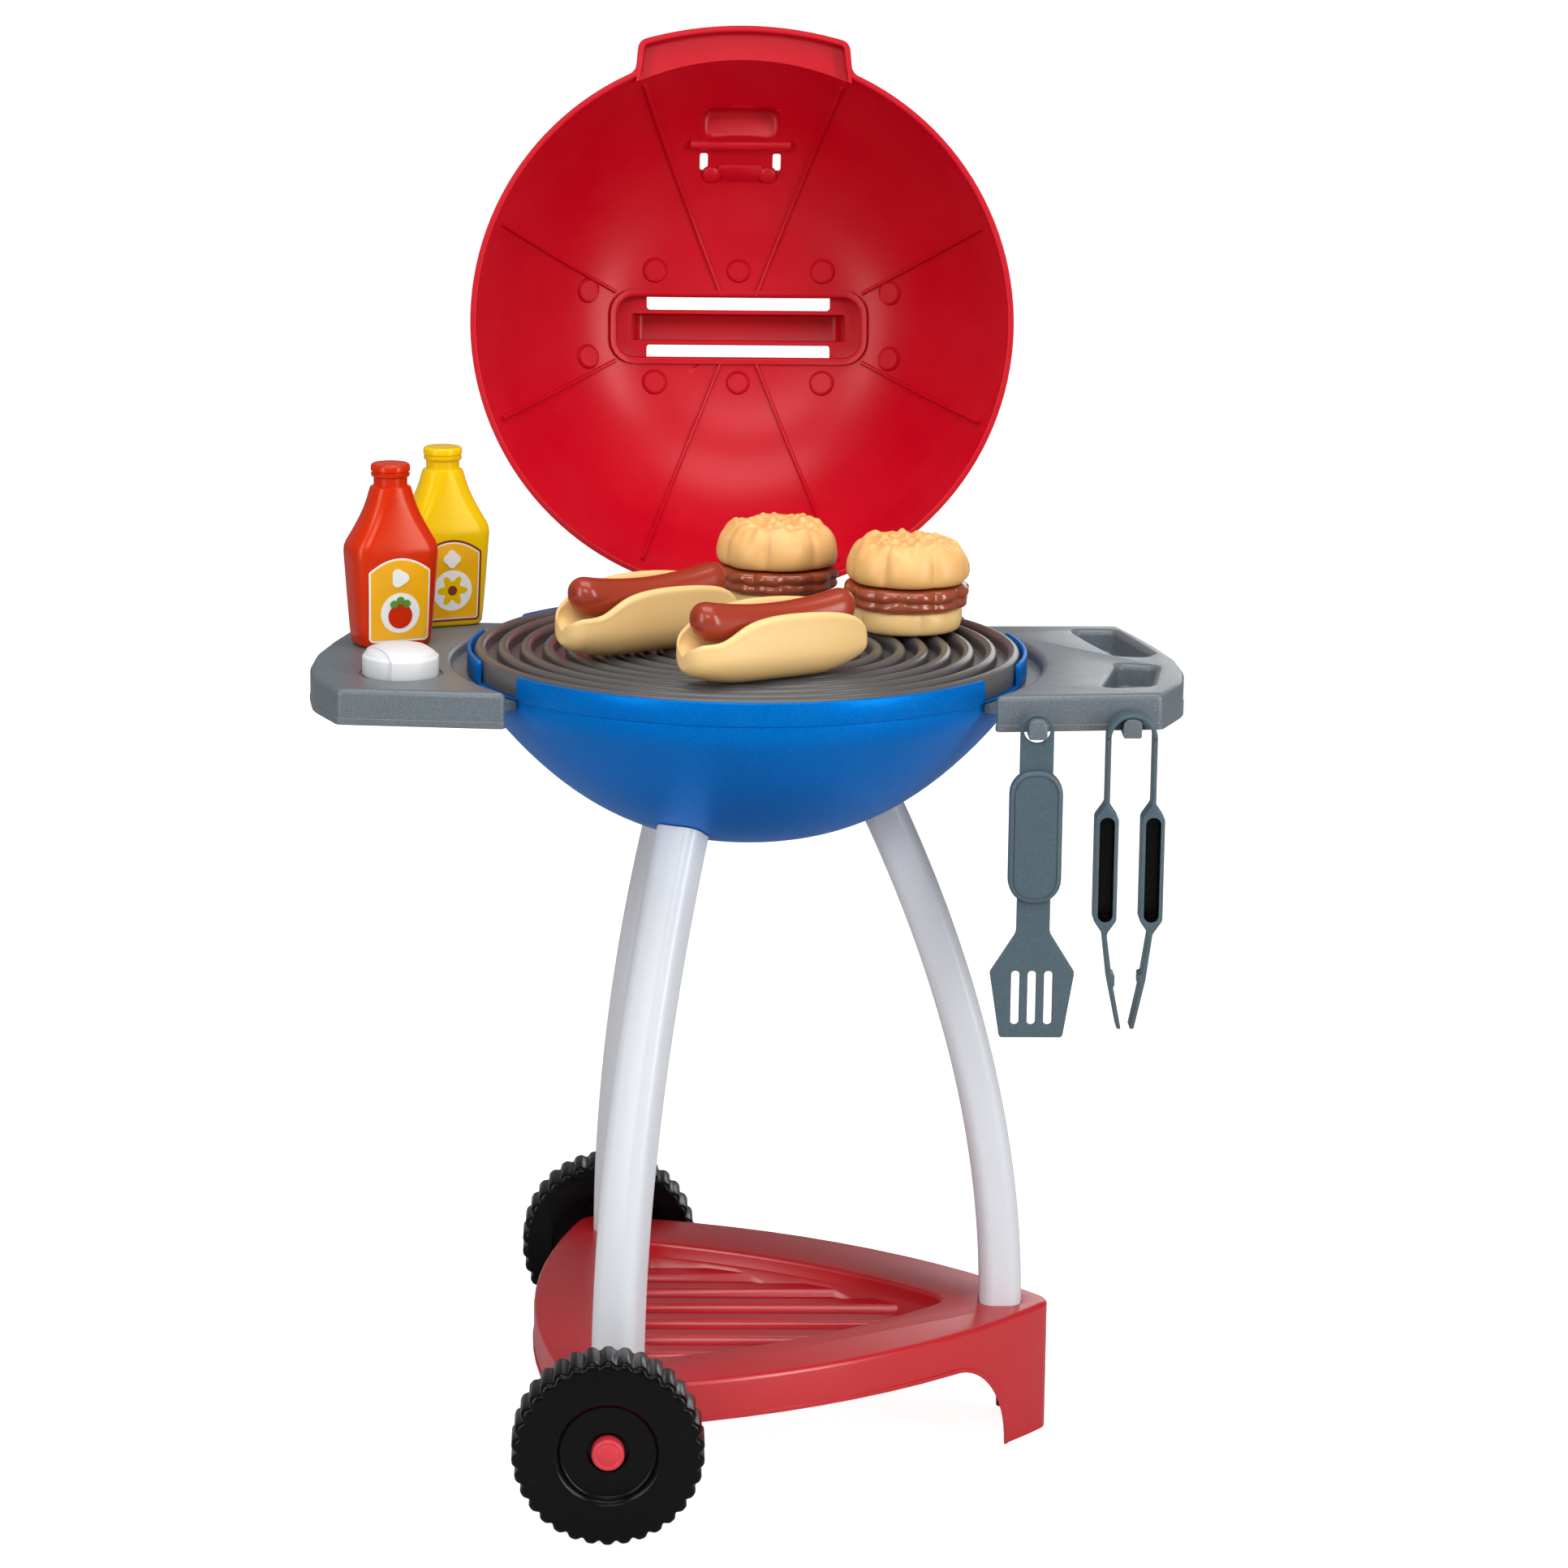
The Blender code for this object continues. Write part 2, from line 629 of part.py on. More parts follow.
def lid_mesh():
    outer = lid_profile(LID_RADIUS, LID_HEIGHT)
    inner = lid_profile(LID_RADIUS - LID_WALL, LID_HEIGHT - LID_WALL)
    profile = [(0, LID_RIM_Z + LID_HEIGHT)] + list(reversed(outer)) + inner
    mesh = revolved(profile + [(0, LID_RIM_Z + LID_HEIGHT - LID_WALL)], BIG_ROUND)
    top = LID_RIM_Z + LID_HEIGHT
    lip = stacked(lip_outline(), ((-LID_WALL, LID_RIM_Z + LID_LIP_HEIGHT - LID_WALL),
                                  (-LID_WALL, LID_RIM_Z), (0, LID_RIM_Z),
                                  (0, LID_RIM_Z + LID_LIP_HEIGHT)))
    mesh = joined(mesh, lip)
    low = lid_height_at(HANDLE_LENGTH / 2) - LID_WALL / 2
    mesh = joined(mesh, handle_block(HANDLE_LENGTH, HANDLE_TOP_LENGTH, HANDLE_WIDTH,
                                     low, top + HANDLE_RISE))
    trim = 2 * HANDLE_WALL
    mesh = cut(mesh, handle_block(HANDLE_LENGTH - trim, HANDLE_TOP_LENGTH - trim,
                                  HANDLE_WIDTH - trim, low - OVERRUN, top + HANDLE_RISE - HANDLE_WALL))
    for side in (-1, 1):
        slot = stacked(rounded_box_outline(SLOT_LENGTH, SLOT_WIDTH, SLOT_WIDTH / 4),
                       ((0, low - OVERRUN), (0, top + OVERRUN)))
        mesh = cut(mesh, moved(slot, (0, side * (HANDLE_WIDTH + SLOT_WIDTH) / 2, 0)))
    mesh = vented(mesh)
    for side in (-1, 1):
        outline = knuckle_outline()
        centre = side * HINGE_X
        mesh = joined(mesh, sideways_prism(outline, centre - KNUCKLE_WIDTH / 2,
                                           centre + KNUCKLE_WIDTH / 2))
        mesh = cut(mesh, cylinder(PIN_RADIUS + TOUCH_GAP, (centre - KNUCKLE_WIDTH, HINGE_Y, HINGE_Z),
                                  (centre + KNUCKLE_WIDTH, HINGE_Y, HINGE_Z)))
    return moved(mesh, (0, -HINGE_Y, -HINGE_Z))


def knuckle_outline(steps=6):
    """The lid's hinge tab, from its rim down round the pin, as (y, z) pairs."""
    rim_y = sqrt(LID_RADIUS ** 2 - (HINGE_X + KNUCKLE_WIDTH / 2) ** 2)
    outline = [(rim_y - LID_WALL / 2, LID_RIM_Z + LUG_RADIUS), (rim_y - LID_WALL / 2, LID_RIM_Z)]
    for i in range(steps + 1):
        angle = pi + KNUCKLE_SWEEP * i / steps
        outline.append((HINGE_Y + LUG_RADIUS * cos(angle), HINGE_Z + LUG_RADIUS * sin(angle)))
    outline.append((HINGE_Y + LUG_RADIUS, LID_RIM_Z + LUG_RADIUS))
    return outline


def vented(mesh):
    """The lid with its vent hood, hollow from inside, and two small holes behind it."""
    front = -VENT_RADIUS
    low = lid_height_at(VENT_RADIUS + VENT_LENGTH / 2) - LID_WALL
    high = lid_height_at(VENT_RADIUS) + VENT_RISE
    corner = VENT_LENGTH / 5
    hood = stacked(rounded_box_outline(VENT_WIDTH, VENT_LENGTH, corner), ((0, low), (0, high)))
    mesh = joined(mesh, moved(hood, (0, front, 0)))
    space = stacked(rounded_box_outline(VENT_WIDTH - 2 * LID_WALL, VENT_LENGTH - 2 * LID_WALL,
                                        corner - LID_WALL / 2),
                    ((0, low - OVERRUN), (0, high - LID_WALL)))
    mesh = cut(mesh, moved(space, (0, front, 0)))
    hole_y = front + VENT_LENGTH / 2 + VENT_HOLE_LENGTH
    for side in (-1, 1):
        centre = side * (VENT_WIDTH - VENT_HOLE_WIDTH) / 2
        mesh = cut(mesh, block((centre - VENT_HOLE_WIDTH / 2, hole_y - VENT_HOLE_LENGTH / 2,
                                low - OVERRUN),
                               (centre + VENT_HOLE_WIDTH / 2, hole_y + VENT_HOLE_LENGTH / 2,
                                LID_RIM_Z + LID_HEIGHT + OVERRUN)))
    return mesh


# Trays

# The outer edge from front to back, as shares of the tray's width and of its half depth
TRAY_EDGE_SHARES = ((0.770, -0.900), (0.957, -0.560), (1.000, -0.250), (0.975, 0.080),
                    (0.888, 0.420), (0.783, 0.740), (0.674, 1.030))
# The least size of a tray's round corner, as a share of the outer one
TRAY_ROUND_SHARE = 0.3
# The front pocket and the rear one, as shares of the tray's width and of its half depth
FRONT_POCKET_SHARES = ((0.332, -0.752), (0.717, -0.684), (0.829, -0.128), (0.528, -0.051))
REAR_POCKET_SHARES = ((0.550, 0.140), (0.767, 0.110), (0.839, 0.220), (0.634, 0.890),
                      (0.286, 0.900), (0.394, 0.550))


def tray_point(x_share, y_share):
    """A place on a tray, from its inner radius out and from its middle back."""
    return (TRAY_INNER_RADIUS + TRAY_WIDTH * x_share, TRAY_HALF_DEPTH * y_share)


def tray_outline(growth=0.0, steps=12):
    """The right tray's outline moved outwards, with its round corners shrunk to suit."""
    spread = asin(TRAY_HALF_DEPTH / TRAY_INNER_RADIUS)
    inner = [(TRAY_INNER_RADIUS * cos(a), TRAY_INNER_RADIUS * sin(a))
             for a in (spread * (1 - 2 * i / steps) for i in range(steps + 1))]
    edge = [tray_point(x, y) for x, y in TRAY_EDGE_SHARES]
    outline = edge + inner
    corners = (0, len(edge) - 1, len(edge), len(outline) - 1)
    round_start = max(TRAY_EDGE_RADIUS + growth, TRAY_EDGE_RADIUS * TRAY_ROUND_SHARE)
    return softened_corners(grown(outline, growth), corners, round_start, 2)


def tray_mesh(side):
    """A hollow tray with its mounting flange, on the side of the bowl given by the sign of X."""
    edge = TRAY_EDGE_RADIUS
    levels = ((-TRAY_WALL, TRAY_TOP_Z - TRAY_WALL), (-TRAY_WALL, TRAY_BOTTOM_Z), (0, TRAY_BOTTOM_Z),
              (0, TRAY_TOP_Z - edge),
              (-edge * ROUND_EDGE_SHARE, TRAY_TOP_Z - edge * ROUND_EDGE_SHARE), (-edge, TRAY_TOP_Z))
    mesh = loft([[(side * x, y, height) for x, y in tray_outline(growth)][::side]
                 for growth, height in levels])
    middle = 0 if side > 0 else pi
    flange = sector(DOME_RADIUS + TOUCH_GAP, TRAY_INNER_RADIUS + TRAY_WALL / 2, middle - FLANGE_ANGLE,
                    middle + FLANGE_ANGLE, FLANGE_Z, FLANGE_Z + FLANGE_THICKNESS, steps=14)
    mesh = joined(mesh, flange)
    for way in (-1, 1):
        point, inward = tray_screw_frame(side, way * TRAY_SCREW_ANGLE)
        mesh = cut(mesh, cylinder(SCREW_SHANK_RADIUS + TOUCH_GAP, point,
                                  point - inward * (TRAY_SCREW_LENGTH + 2 * TOUCH_GAP)))
    return mesh


def pocket_outline(shares):
    return softened_corners([tray_point(x, y) for x, y in shares],
                            range(len(shares)), POCKET_FLARE * 2, 2)


def right_tray_mesh():
    mesh = tray_mesh(1)
    floor = TRAY_TOP_Z - POCKET_DEPTH
    for shares in (FRONT_POCKET_SHARES, REAR_POCKET_SHARES):
        outline = pocket_outline(shares)
        cup = stacked(outline, ((TRAY_WALL / 2, floor - TRAY_WALL),
                                (TRAY_WALL / 2, TRAY_TOP_Z - TRAY_WALL / 2)))
        space = stacked(outline, ((-TRAY_WALL / 2, floor), (-TRAY_WALL / 2, TRAY_TOP_Z - POCKET_FLARE),
                                  (POCKET_FLARE / 2, TRAY_TOP_Z), (POCKET_FLARE / 2, TRAY_TOP_Z + OVERRUN)))
        mesh = cut(joined(mesh, cup), space)
    for hook_x in (SPATULA_HOOK_X, TONGS_HOOK_X):
        mesh = joined(mesh, hook_mesh(hook_x))
    return mesh


def tray_front_y(x):
    """How far forward the tray's swept front face lies at an x."""
    near = (TRAY_NEAR_X, -TRAY_HALF_DEPTH)
    far = tray_point(*TRAY_EDGE_SHARES[0])
    return near[1] + (far[1] - near[1]) * (x - near[0]) / (far[0] - near[0])


def hook_outline():
    """The hook's section, with round top corners, as (x, z) pairs below its top line."""
    half = HOOK_WIDTH / 2
    outline = [(-half, -HOOK_HEIGHT), (half, -HOOK_HEIGHT), (half, 0), (-half, 0)]
    return softened_corners(outline, (2, 3), HOOK_CORNER_RADIUS)


def hanging_height(radius):
    """Height of a round hole's centre when the hole hangs on a hook."""
    free = radius - TOUCH_GAP
    return HOOK_TOP_Z + max(z - sqrt(free ** 2 - x ** 2) for x, z in hook_outline())


def hook_mesh(x):
    root_y = tray_front_y(x) + TRAY_WALL / 2
    return loft([[(x + dx, y, HOOK_TOP_Z + dz) for dx, dz in hook_outline()]
                 for y in (root_y, tray_front_y(x) - HOOK_LENGTH)])


def left_tray_mesh():
    mesh = tray_mesh(-1)
    hole = cylinder(KNOB_STEM_RADIUS + KNOB_HOLE_GAP, (KNOB_X, KNOB_Y, TRAY_BOTTOM_Z - OVERRUN),
                    (KNOB_X, KNOB_Y, TRAY_TOP_Z + OVERRUN), MID_ROUND)
    well = cylinder(KNOB_RADIUS + KNOB_HOLE_GAP, (KNOB_X, KNOB_Y, TRAY_TOP_Z - TRAY_WALL / 2),
                    (KNOB_X, KNOB_Y, TRAY_TOP_Z + OVERRUN), MID_ROUND)
    return cut(mesh, hole, well)


# Legs and base

# The corner radius of a leg's section, as a share of its depth
LEG_CORNER_SHARE = 0.4
# How far in from the base's edge an axle boss starts, in boss radii
BOSS_START = 4


def leg_radius_at(height):
    rise = BOWL_BOTTOM_Z - BASE_TOP_Z
    share = max(0.0, (height - BASE_TOP_Z) / rise)
    return LEG_FOOT_RADIUS - LEG_LEAN * share ** LEG_CURVE_POWER


def leg_section():
    """The leg's rounded section, radial along X and tangential along Y."""
    return rounded_box_outline(LEG_RADIAL, LEG_TANGENTIAL, LEG_RADIAL * LEG_CORNER_SHARE)


def leg_mesh(steps=13):
    """A leg at angle zero, curved along its height and trimmed to the bowl's underside."""
    foot_z = BASE_TOP_Z - LEG_SOCKET_DEPTH + TOUCH_GAP
    top_z = (BOWL_BOTTOM_Z + DOME_TOP_Z) / 2
    rings = []
    for i in range(steps + 1):
        height = foot_z + (top_z - foot_z) * i / steps
        radius = leg_radius_at(height)
        slope = (leg_radius_at(height + BOWL_WALL) - leg_radius_at(height - BOWL_WALL)) / (2 * BOWL_WALL)
        lean = atan2(slope, 1)
        rings.append([(radius + x * cos(lean), y, height - x * sin(lean)) for x, y in leg_section()])
    mesh = loft(rings)
    bowl = revolved([(0, BOWL_BOTTOM_Z - 2 * TOUCH_GAP)]
                    + [(DOME_RADIUS * s, dome_height(DOME_RADIUS * s) - 2 * TOUCH_GAP)
                       for s in DOME_SHARES]
                    + [(DOME_RADIUS, BOWL_RIM_Z), (0, BOWL_RIM_Z)], BIG_ROUND)
    mesh = cut(mesh, bowl)
    point, direction, wall = leg_screw_frame(0)
    return cut(mesh, cylinder(SCREW_SHANK_RADIUS + TOUCH_GAP, point + direction * wall,
                              point - direction * (LEG_SCREW_LENGTH + TOUCH_GAP)))


def placed_section(outline, angle, growth):
    """The leg's section at its foot, turned to the leg's angle."""
    placed = []
    for x, y in grown(outline, growth):
        across = LEG_FOOT_RADIUS + x
        placed.append((across * cos(angle) - y * sin(angle), across * sin(angle) + y * cos(angle)))
    return placed


def upright(outline, low, high):
    return loft([[(x, y, z) for x, y in outline] for z in (low, high)])


def base_outline():
    return bulged_triangle(BASE_APEX_X, BASE_LEFT_X, BASE_HALF_DEPTH, BASE_SIDE_BULGE,
                           BASE_LEFT_BULGE, BASE_CORNER_RADIUS)


def recess_outline():
    return bulged_triangle(RECESS_APEX_X, RECESS_LEFT_X, RECESS_HALF_DEPTH, RECESS_BULGE,
                           RECESS_BULGE / 2, RECESS_CORNER_RADIUS, 5)


def axle_boss(side):
    """One axle boss from inside the base out to the wheel, as a cylinder."""
    inner = side * (BASE_HALF_DEPTH - BOSS_START * AXLE_BOSS_RADIUS)
    outer = side * (WHEEL_INNER_Y - RUN_GAP)
    return cylinder(AXLE_BOSS_RADIUS, (WHEEL_X, inner, WHEEL_RADIUS), (WHEEL_X, outer, WHEEL_RADIUS),
                    AXLE_ROUND)


def base_hollow():
    """The space under the base's top: all of its inside but the pan, the sockets and the bosses."""
    ceiling = BASE_TOP_Z - BASE_WALL
    mesh = upright(grown(base_outline(), -BASE_WALL), -OVERRUN, ceiling)
    pan = upright(grown(recess_outline(), BASE_WALL), RECESS_FLOOR_Z - BASE_WALL, BASE_TOP_Z)
    mesh = cut(mesh, pan)
    for angle in (0, LEG_ANGLE, -LEG_ANGLE):
        outline = placed_section(leg_section(), angle, BASE_WALL)
        mesh = cut(mesh, upright(outline, BASE_TOP_Z - LEG_SOCKET_DEPTH - BASE_WALL, BASE_TOP_Z))
    for side in (-1, 1):
        inner = BASE_HALF_DEPTH - BOSS_START * AXLE_BOSS_RADIUS
        ends = sorted((side * inner, side * (BASE_HALF_DEPTH + BASE_WALL)))
        mesh = cut(mesh, block((WHEEL_X - AXLE_BOSS_RADIUS / 2, ends[0], WHEEL_RADIUS),
                               (WHEEL_X + AXLE_BOSS_RADIUS / 2, ends[1], BASE_TOP_Z)))
    return mesh


def arch_space(steps=6):
    """All below the skirt, up to the quarter ellipse where the foot comes down."""
    outline = [(BASE_LEFT_X - BASE_LEFT_BULGE - OVERRUN, -OVERRUN), (ARCH_START_X + ARCH_REACH, -OVERRUN)]
    for i in range(steps + 1):
        angle = pi / 2 * i / steps
        outline.append((ARCH_START_X + ARCH_REACH * cos(angle), BASE_SKIRT_Z * sin(angle)))
    outline.append((BASE_LEFT_X - BASE_LEFT_BULGE - OVERRUN, BASE_SKIRT_Z))
    reach = BASE_HALF_DEPTH + BASE_SIDE_BULGE
    return loft([[(x, y, z) for x, z in outline] for y in (-reach, reach)])


def ribbed_floor():
    """The raised ribs on the recess floor, cut to its outline."""
    count = int(RECESS_HALF_DEPTH / RIB_PITCH)
    plate = upright(grown(recess_outline(), BASE_WALL / 2), RECESS_FLOOR_Z - BASE_WALL / 2,
                    RECESS_FLOOR_Z + RIB_HEIGHT)
    reach = RIB_PITCH * (count + 1)
    for i in range(-count - 1, count + 1):
        low = RIB_PITCH * i + RIB_WIDTH / 2
        high = RIB_PITCH * (i + 1) - RIB_WIDTH / 2
        plate = cut(plate, block((RECESS_LEFT_X - reach, low, RECESS_FLOOR_Z),
                                 (RECESS_APEX_X + reach, high, BASE_TOP_Z)))
    return plate


def base_mesh():
    edge = BASE_EDGE_RADIUS
    mesh = stacked(base_outline(), ((0, 0), (0, BASE_TOP_Z - edge),
                                    (-edge * ROUND_EDGE_SHARE, BASE_TOP_Z - edge * ROUND_EDGE_SHARE),
                                    (-edge, BASE_TOP_Z)))
    mesh = cut(mesh, arch_space(), base_hollow())
    mesh = cut(mesh, upright(recess_outline(), RECESS_FLOOR_Z, BASE_TOP_Z + OVERRUN))
    mesh = joined(mesh, ribbed_floor(), axle_boss(-1), axle_boss(1))
    for angle in (0, LEG_ANGLE, -LEG_ANGLE):
        outline = placed_section(leg_section(), angle, TOUCH_GAP)
        mesh = cut(mesh, upright(outline, BASE_TOP_Z - LEG_SOCKET_DEPTH, BASE_TOP_Z + OVERRUN))
    return cut(mesh, cylinder(AXLE_RADIUS + TOUCH_GAP, (WHEEL_X, -WHEEL_OUTER_Y, WHEEL_RADIUS),
                              (WHEEL_X, WHEEL_OUTER_Y, WHEEL_RADIUS), AXLE_ROUND))


# Wheels, built with the outer face at +Z

# Points along each lump of the tread as shares of its pitch, with the depth there as a share
LUMP_SHARES = ((0.0, 1.0), (0.3, 0.0), (0.7, 0.0))


def wheel_mesh():
    outline = []
    for lump in range(LUMPS):
        for share, depth in LUMP_SHARES:
            angle = 2 * pi * (lump + share) / LUMPS
            radius = WHEEL_RADIUS - LUMP_DEPTH * depth
            outline.append((radius * cos(angle), radius * sin(angle)))
    mesh = upright(outline, 0, WHEEL_WIDTH)
    floor = WHEEL_WIDTH - HUB_DEPTH
    front = revolved([(0, floor - WELL_DEPTH), (WELL_RADIUS, floor - WELL_DEPTH), (WELL_RADIUS, floor),
                      (HUB_RADIUS - HUB_DEPTH / 2, floor), (HUB_RADIUS, WHEEL_WIDTH),
                      (HUB_RADIUS, WHEEL_WIDTH + OVERRUN), (0, WHEEL_WIDTH + OVERRUN)], HUB_ROUND)
    back = revolved([(AXLE_BOSS_RADIUS, -OVERRUN), (BACK_HOLLOW_RADIUS, -OVERRUN),
                     (BACK_HOLLOW_RADIUS, BACK_HOLLOW_DEPTH), (AXLE_BOSS_RADIUS, BACK_HOLLOW_DEPTH)],
                    MID_ROUND, closed=True)
    bore = cylinder(AXLE_RADIUS + RUN_GAP / 2, (0, 0, -OVERRUN), (0, 0, WHEEL_WIDTH + OVERRUN), AXLE_ROUND)
    return cut(mesh, front, back, bore)


def axle_cap_mesh():
    """A cap pressed on the axle's end, seated in the wheel's well with its flat face proud."""
    well = HUB_DEPTH + WELL_DEPTH - RUN_GAP
    depth = well + AXLE_CAP_PROUD
    edge = AXLE_CAP_PROUD / 3
    return revolved([(0, AXLE_CAP_PROUD), (AXLE_CAP_RADIUS - edge, AXLE_CAP_PROUD),
                     (AXLE_CAP_RADIUS, AXLE_CAP_PROUD - edge), (AXLE_CAP_RADIUS, AXLE_CAP_PROUD - depth),
                     (AXLE_RADIUS + TOUCH_GAP, AXLE_CAP_PROUD - depth),
                     (AXLE_RADIUS + TOUCH_GAP, -AXLE_CAP_PROUD), (0, -AXLE_CAP_PROUD)], MID_ROUND)


# Knob

# The knob's crown, as shares of its radius and of its dome's height
KNOB_CROWN_SHARES = ((1.0, 0.0), (0.94, 0.30), (0.62, 0.80), (0.25, 0.98))


def knob_mesh():
    """The knob about its own turning axis, with a proud grip bar across and zero on the tray's top."""
    seat = TOUCH_GAP - TRAY_WALL / 2
    stem_end = -TRAY_WALL - KNOB_CLIP_THICKNESS - 2 * TOUCH_GAP
    inner = KNOB_RADIUS - KNOB_GRIP_STEP
    bar = revolved([(0, seat), (KNOB_RADIUS, seat)]
                   + [(KNOB_RADIUS * r, KNOB_SIDE + KNOB_DOME * h) for r, h in KNOB_CROWN_SHARES]
                   + [(0, KNOB_SIDE + KNOB_DOME)], KNOB_ROUND)
    half = KNOB_GRIP_WIDTH / 2
    reach = KNOB_RADIUS + OVERRUN
    slab = block((-half, -reach, seat - OVERRUN), (half, reach, KNOB_SIDE + KNOB_DOME + OVERRUN))
    bar = combined(bar, slab, "INTERSECT")
    low_crown = KNOB_DOME - KNOB_GRIP_STEP
    body = revolved([(0, stem_end), (KNOB_STEM_RADIUS, stem_end), (KNOB_STEM_RADIUS, seat), (inner, seat)]
                    + [(inner * r, KNOB_SIDE + low_crown * h) for r, h in KNOB_CROWN_SHARES]
                    + [(0, KNOB_SIDE + low_crown)], KNOB_ROUND)
    mesh = joined(body, bar)
    pilot = cylinder(SCREW_SHANK_RADIUS + TOUCH_GAP, (0, 0, stem_end - OVERRUN),
                     (0, 0, stem_end + KNOB_SCREW_LENGTH))
    return cut(mesh, pilot)


def knob_clip_mesh():
    """The clip under the tray that keeps the knob in its hole."""
    top = -TRAY_WALL - TOUCH_GAP
    low = top - KNOB_CLIP_THICKNESS
    return revolved([(KNOB_STEM_RADIUS + TOUCH_GAP, low), (KNOB_CLIP_RADIUS, low), (KNOB_CLIP_RADIUS, top),
                     (KNOB_STEM_RADIUS + TOUCH_GAP, top)], MID_ROUND, closed=True)


# Utensils

# Heights down the spatula, as shares of its drop
STRAP_END_SHARE = 0.655
BLADE_TOP_SHARE = 0.785
GRIP_MIDDLE_SHARE = 0.342
GRIP_LENGTH_SHARE = 0.428
SLOT_MIDDLE_SHARE = 0.870
# Corner radius of the spatula's grip and slots, as a share of their width
LONG_ROUND_SHARE = 0.455
# Heights down a tongs arm, as shares of its drop
ARM_GRIP_TOP_SHARE = 0.227
ARM_GRIP_END_SHARE = 0.671
ARM_NUB_SHARES = (0.810, 0.815, 0.850, 0.855)
ARM_ELBOW_SHARE = 0.830
# How far out the arm's elbow and nub lie, as shares of the bow's inner radius
ELBOW_REACH_SHARE = 0.72
NUB_REACH_SHARE = 0.56
# The slope at each end of the arm's grip, as a share of the grip's width
GRIP_TAPER_SHARE = 0.6


def spatula_outline(steps=10):
    """The flat outline from the ring down to the blade, as (x, z) pairs about the ring's centre."""
    half = SPATULA_STRAP_WIDTH / 2
    blade_top = -SPATULA_DROP * BLADE_TOP_SHARE
    neck = -SPATULA_DROP * STRAP_END_SHARE
    side = [(half, neck), (half, 0)]
    ring = [(half * cos(pi * i / steps), half * sin(pi * i / steps)) for i in range(1, steps)]
    blade = [(-half, 0), (-half, neck), (-SPATULA_BLADE_WIDTH / 2, blade_top),
             (-SPATULA_EDGE_WIDTH / 2, -SPATULA_DROP), (SPATULA_EDGE_WIDTH / 2, -SPATULA_DROP),
             (SPATULA_BLADE_WIDTH / 2, blade_top)]
    return side + ring + blade


def standing(outline, near, far):
    """A plate that stands in the XZ plane from (x, z) pairs, between two y values."""
    return loft([[(x, y, z) for x, z in outline] for y in (near, far)])


def spatula_mesh():
    """The spatula about the centre of its ring."""
    half = SPATULA_THICKNESS / 2
    mesh = standing(spatula_outline(), -half, half)
    mesh = cut(mesh, cylinder(SPATULA_HOLE_RADIUS, (0, -half - OVERRUN, 0), (0, half + OVERRUN, 0),
                              MID_ROUND))
    grip_centre = -SPATULA_DROP * GRIP_MIDDLE_SHARE
    grip = rounded_box_outline(SPATULA_GRIP_WIDTH, SPATULA_DROP * GRIP_LENGTH_SHARE,
                               SPATULA_GRIP_WIDTH * LONG_ROUND_SHARE, steps=4)
    pad = standing([(x, z + grip_centre) for x, z in grip], -SPATULA_GRIP_THICKNESS + half, half)
    mesh = joined(mesh, pad)
    slot_z = -SPATULA_DROP * SLOT_MIDDLE_SHARE
    slot = rounded_box_outline(SPATULA_SLOT_WIDTH, SPATULA_SLOT_LENGTH,
                               SPATULA_SLOT_WIDTH * LONG_ROUND_SHARE, steps=2)
    for offset in (-2, 0, 2):
        mesh = cut(mesh, standing([(x + offset * SPATULA_SLOT_WIDTH, z + slot_z) for x, z in slot],
                                  -half - OVERRUN, half + OVERRUN))
    return mesh


def tongs_bow_mesh(steps=10):
    """The bow over the hook, a half ring about its centre."""
    outline = []
    for radius, way in ((TONGS_BOW_RADIUS, 1), (TONGS_BOW_RADIUS - TONGS_BAND, -1)):
        for i in range(steps + 1):
            angle = pi * (i if way > 0 else steps - i) / steps
            outline.append((radius * cos(angle), radius * sin(angle)))
    return standing(outline, -TONGS_DEPTH / 2, TONGS_DEPTH / 2)


def tongs_arm_mesh():
    """The right arm, hung from the bow's end with a hollow grip and a nub, as seen from the front."""
    outer = TONGS_BOW_RADIUS
    inner = outer - TONGS_BAND
    drop = TONGS_DROP
    tip = TONGS_TIP_GAP / 2
    taper = TONGS_GRIP_WIDTH * GRIP_TAPER_SHARE
    grip_top = -drop * ARM_GRIP_TOP_SHARE
    grip_low = -drop * ARM_GRIP_END_SHARE
    grip_in = (inner + outer - TONGS_GRIP_WIDTH) / 2
    grip_out = grip_in + TONGS_GRIP_WIDTH
    elbow = inner * ELBOW_REACH_SHARE
    nub = inner * NUB_REACH_SHARE
    nub_z = [-drop * share for share in ARM_NUB_SHARES]
    outline = [(inner, -TOUCH_GAP), (inner, grip_top), (grip_in, grip_top - taper),
               (grip_in, grip_low + taper), (inner, grip_low), (elbow, nub_z[0]),
               (nub, nub_z[1]), (nub, nub_z[2]), (elbow - TONGS_BAND / 2, nub_z[3]),
               (tip, -drop), (tip + TONGS_BAND, -drop), (elbow + TONGS_BAND, -drop * ARM_ELBOW_SHARE),
               (outer, grip_low), (grip_out, grip_low + taper), (grip_out, grip_top - taper),
               (outer, grip_top), (outer, -TOUCH_GAP)]
    half = TONGS_DEPTH / 2
    mesh = standing(outline, -half, half)
    space = [(grip_in + TONGS_BAND, grip_low + taper), (grip_out - TONGS_BAND, grip_low + taper),
             (grip_out - TONGS_BAND, grip_top - taper), (grip_in + TONGS_BAND, grip_top - taper)]
    return cut(mesh, standing(space, -half - OVERRUN, half - TONGS_BAND))


# Food

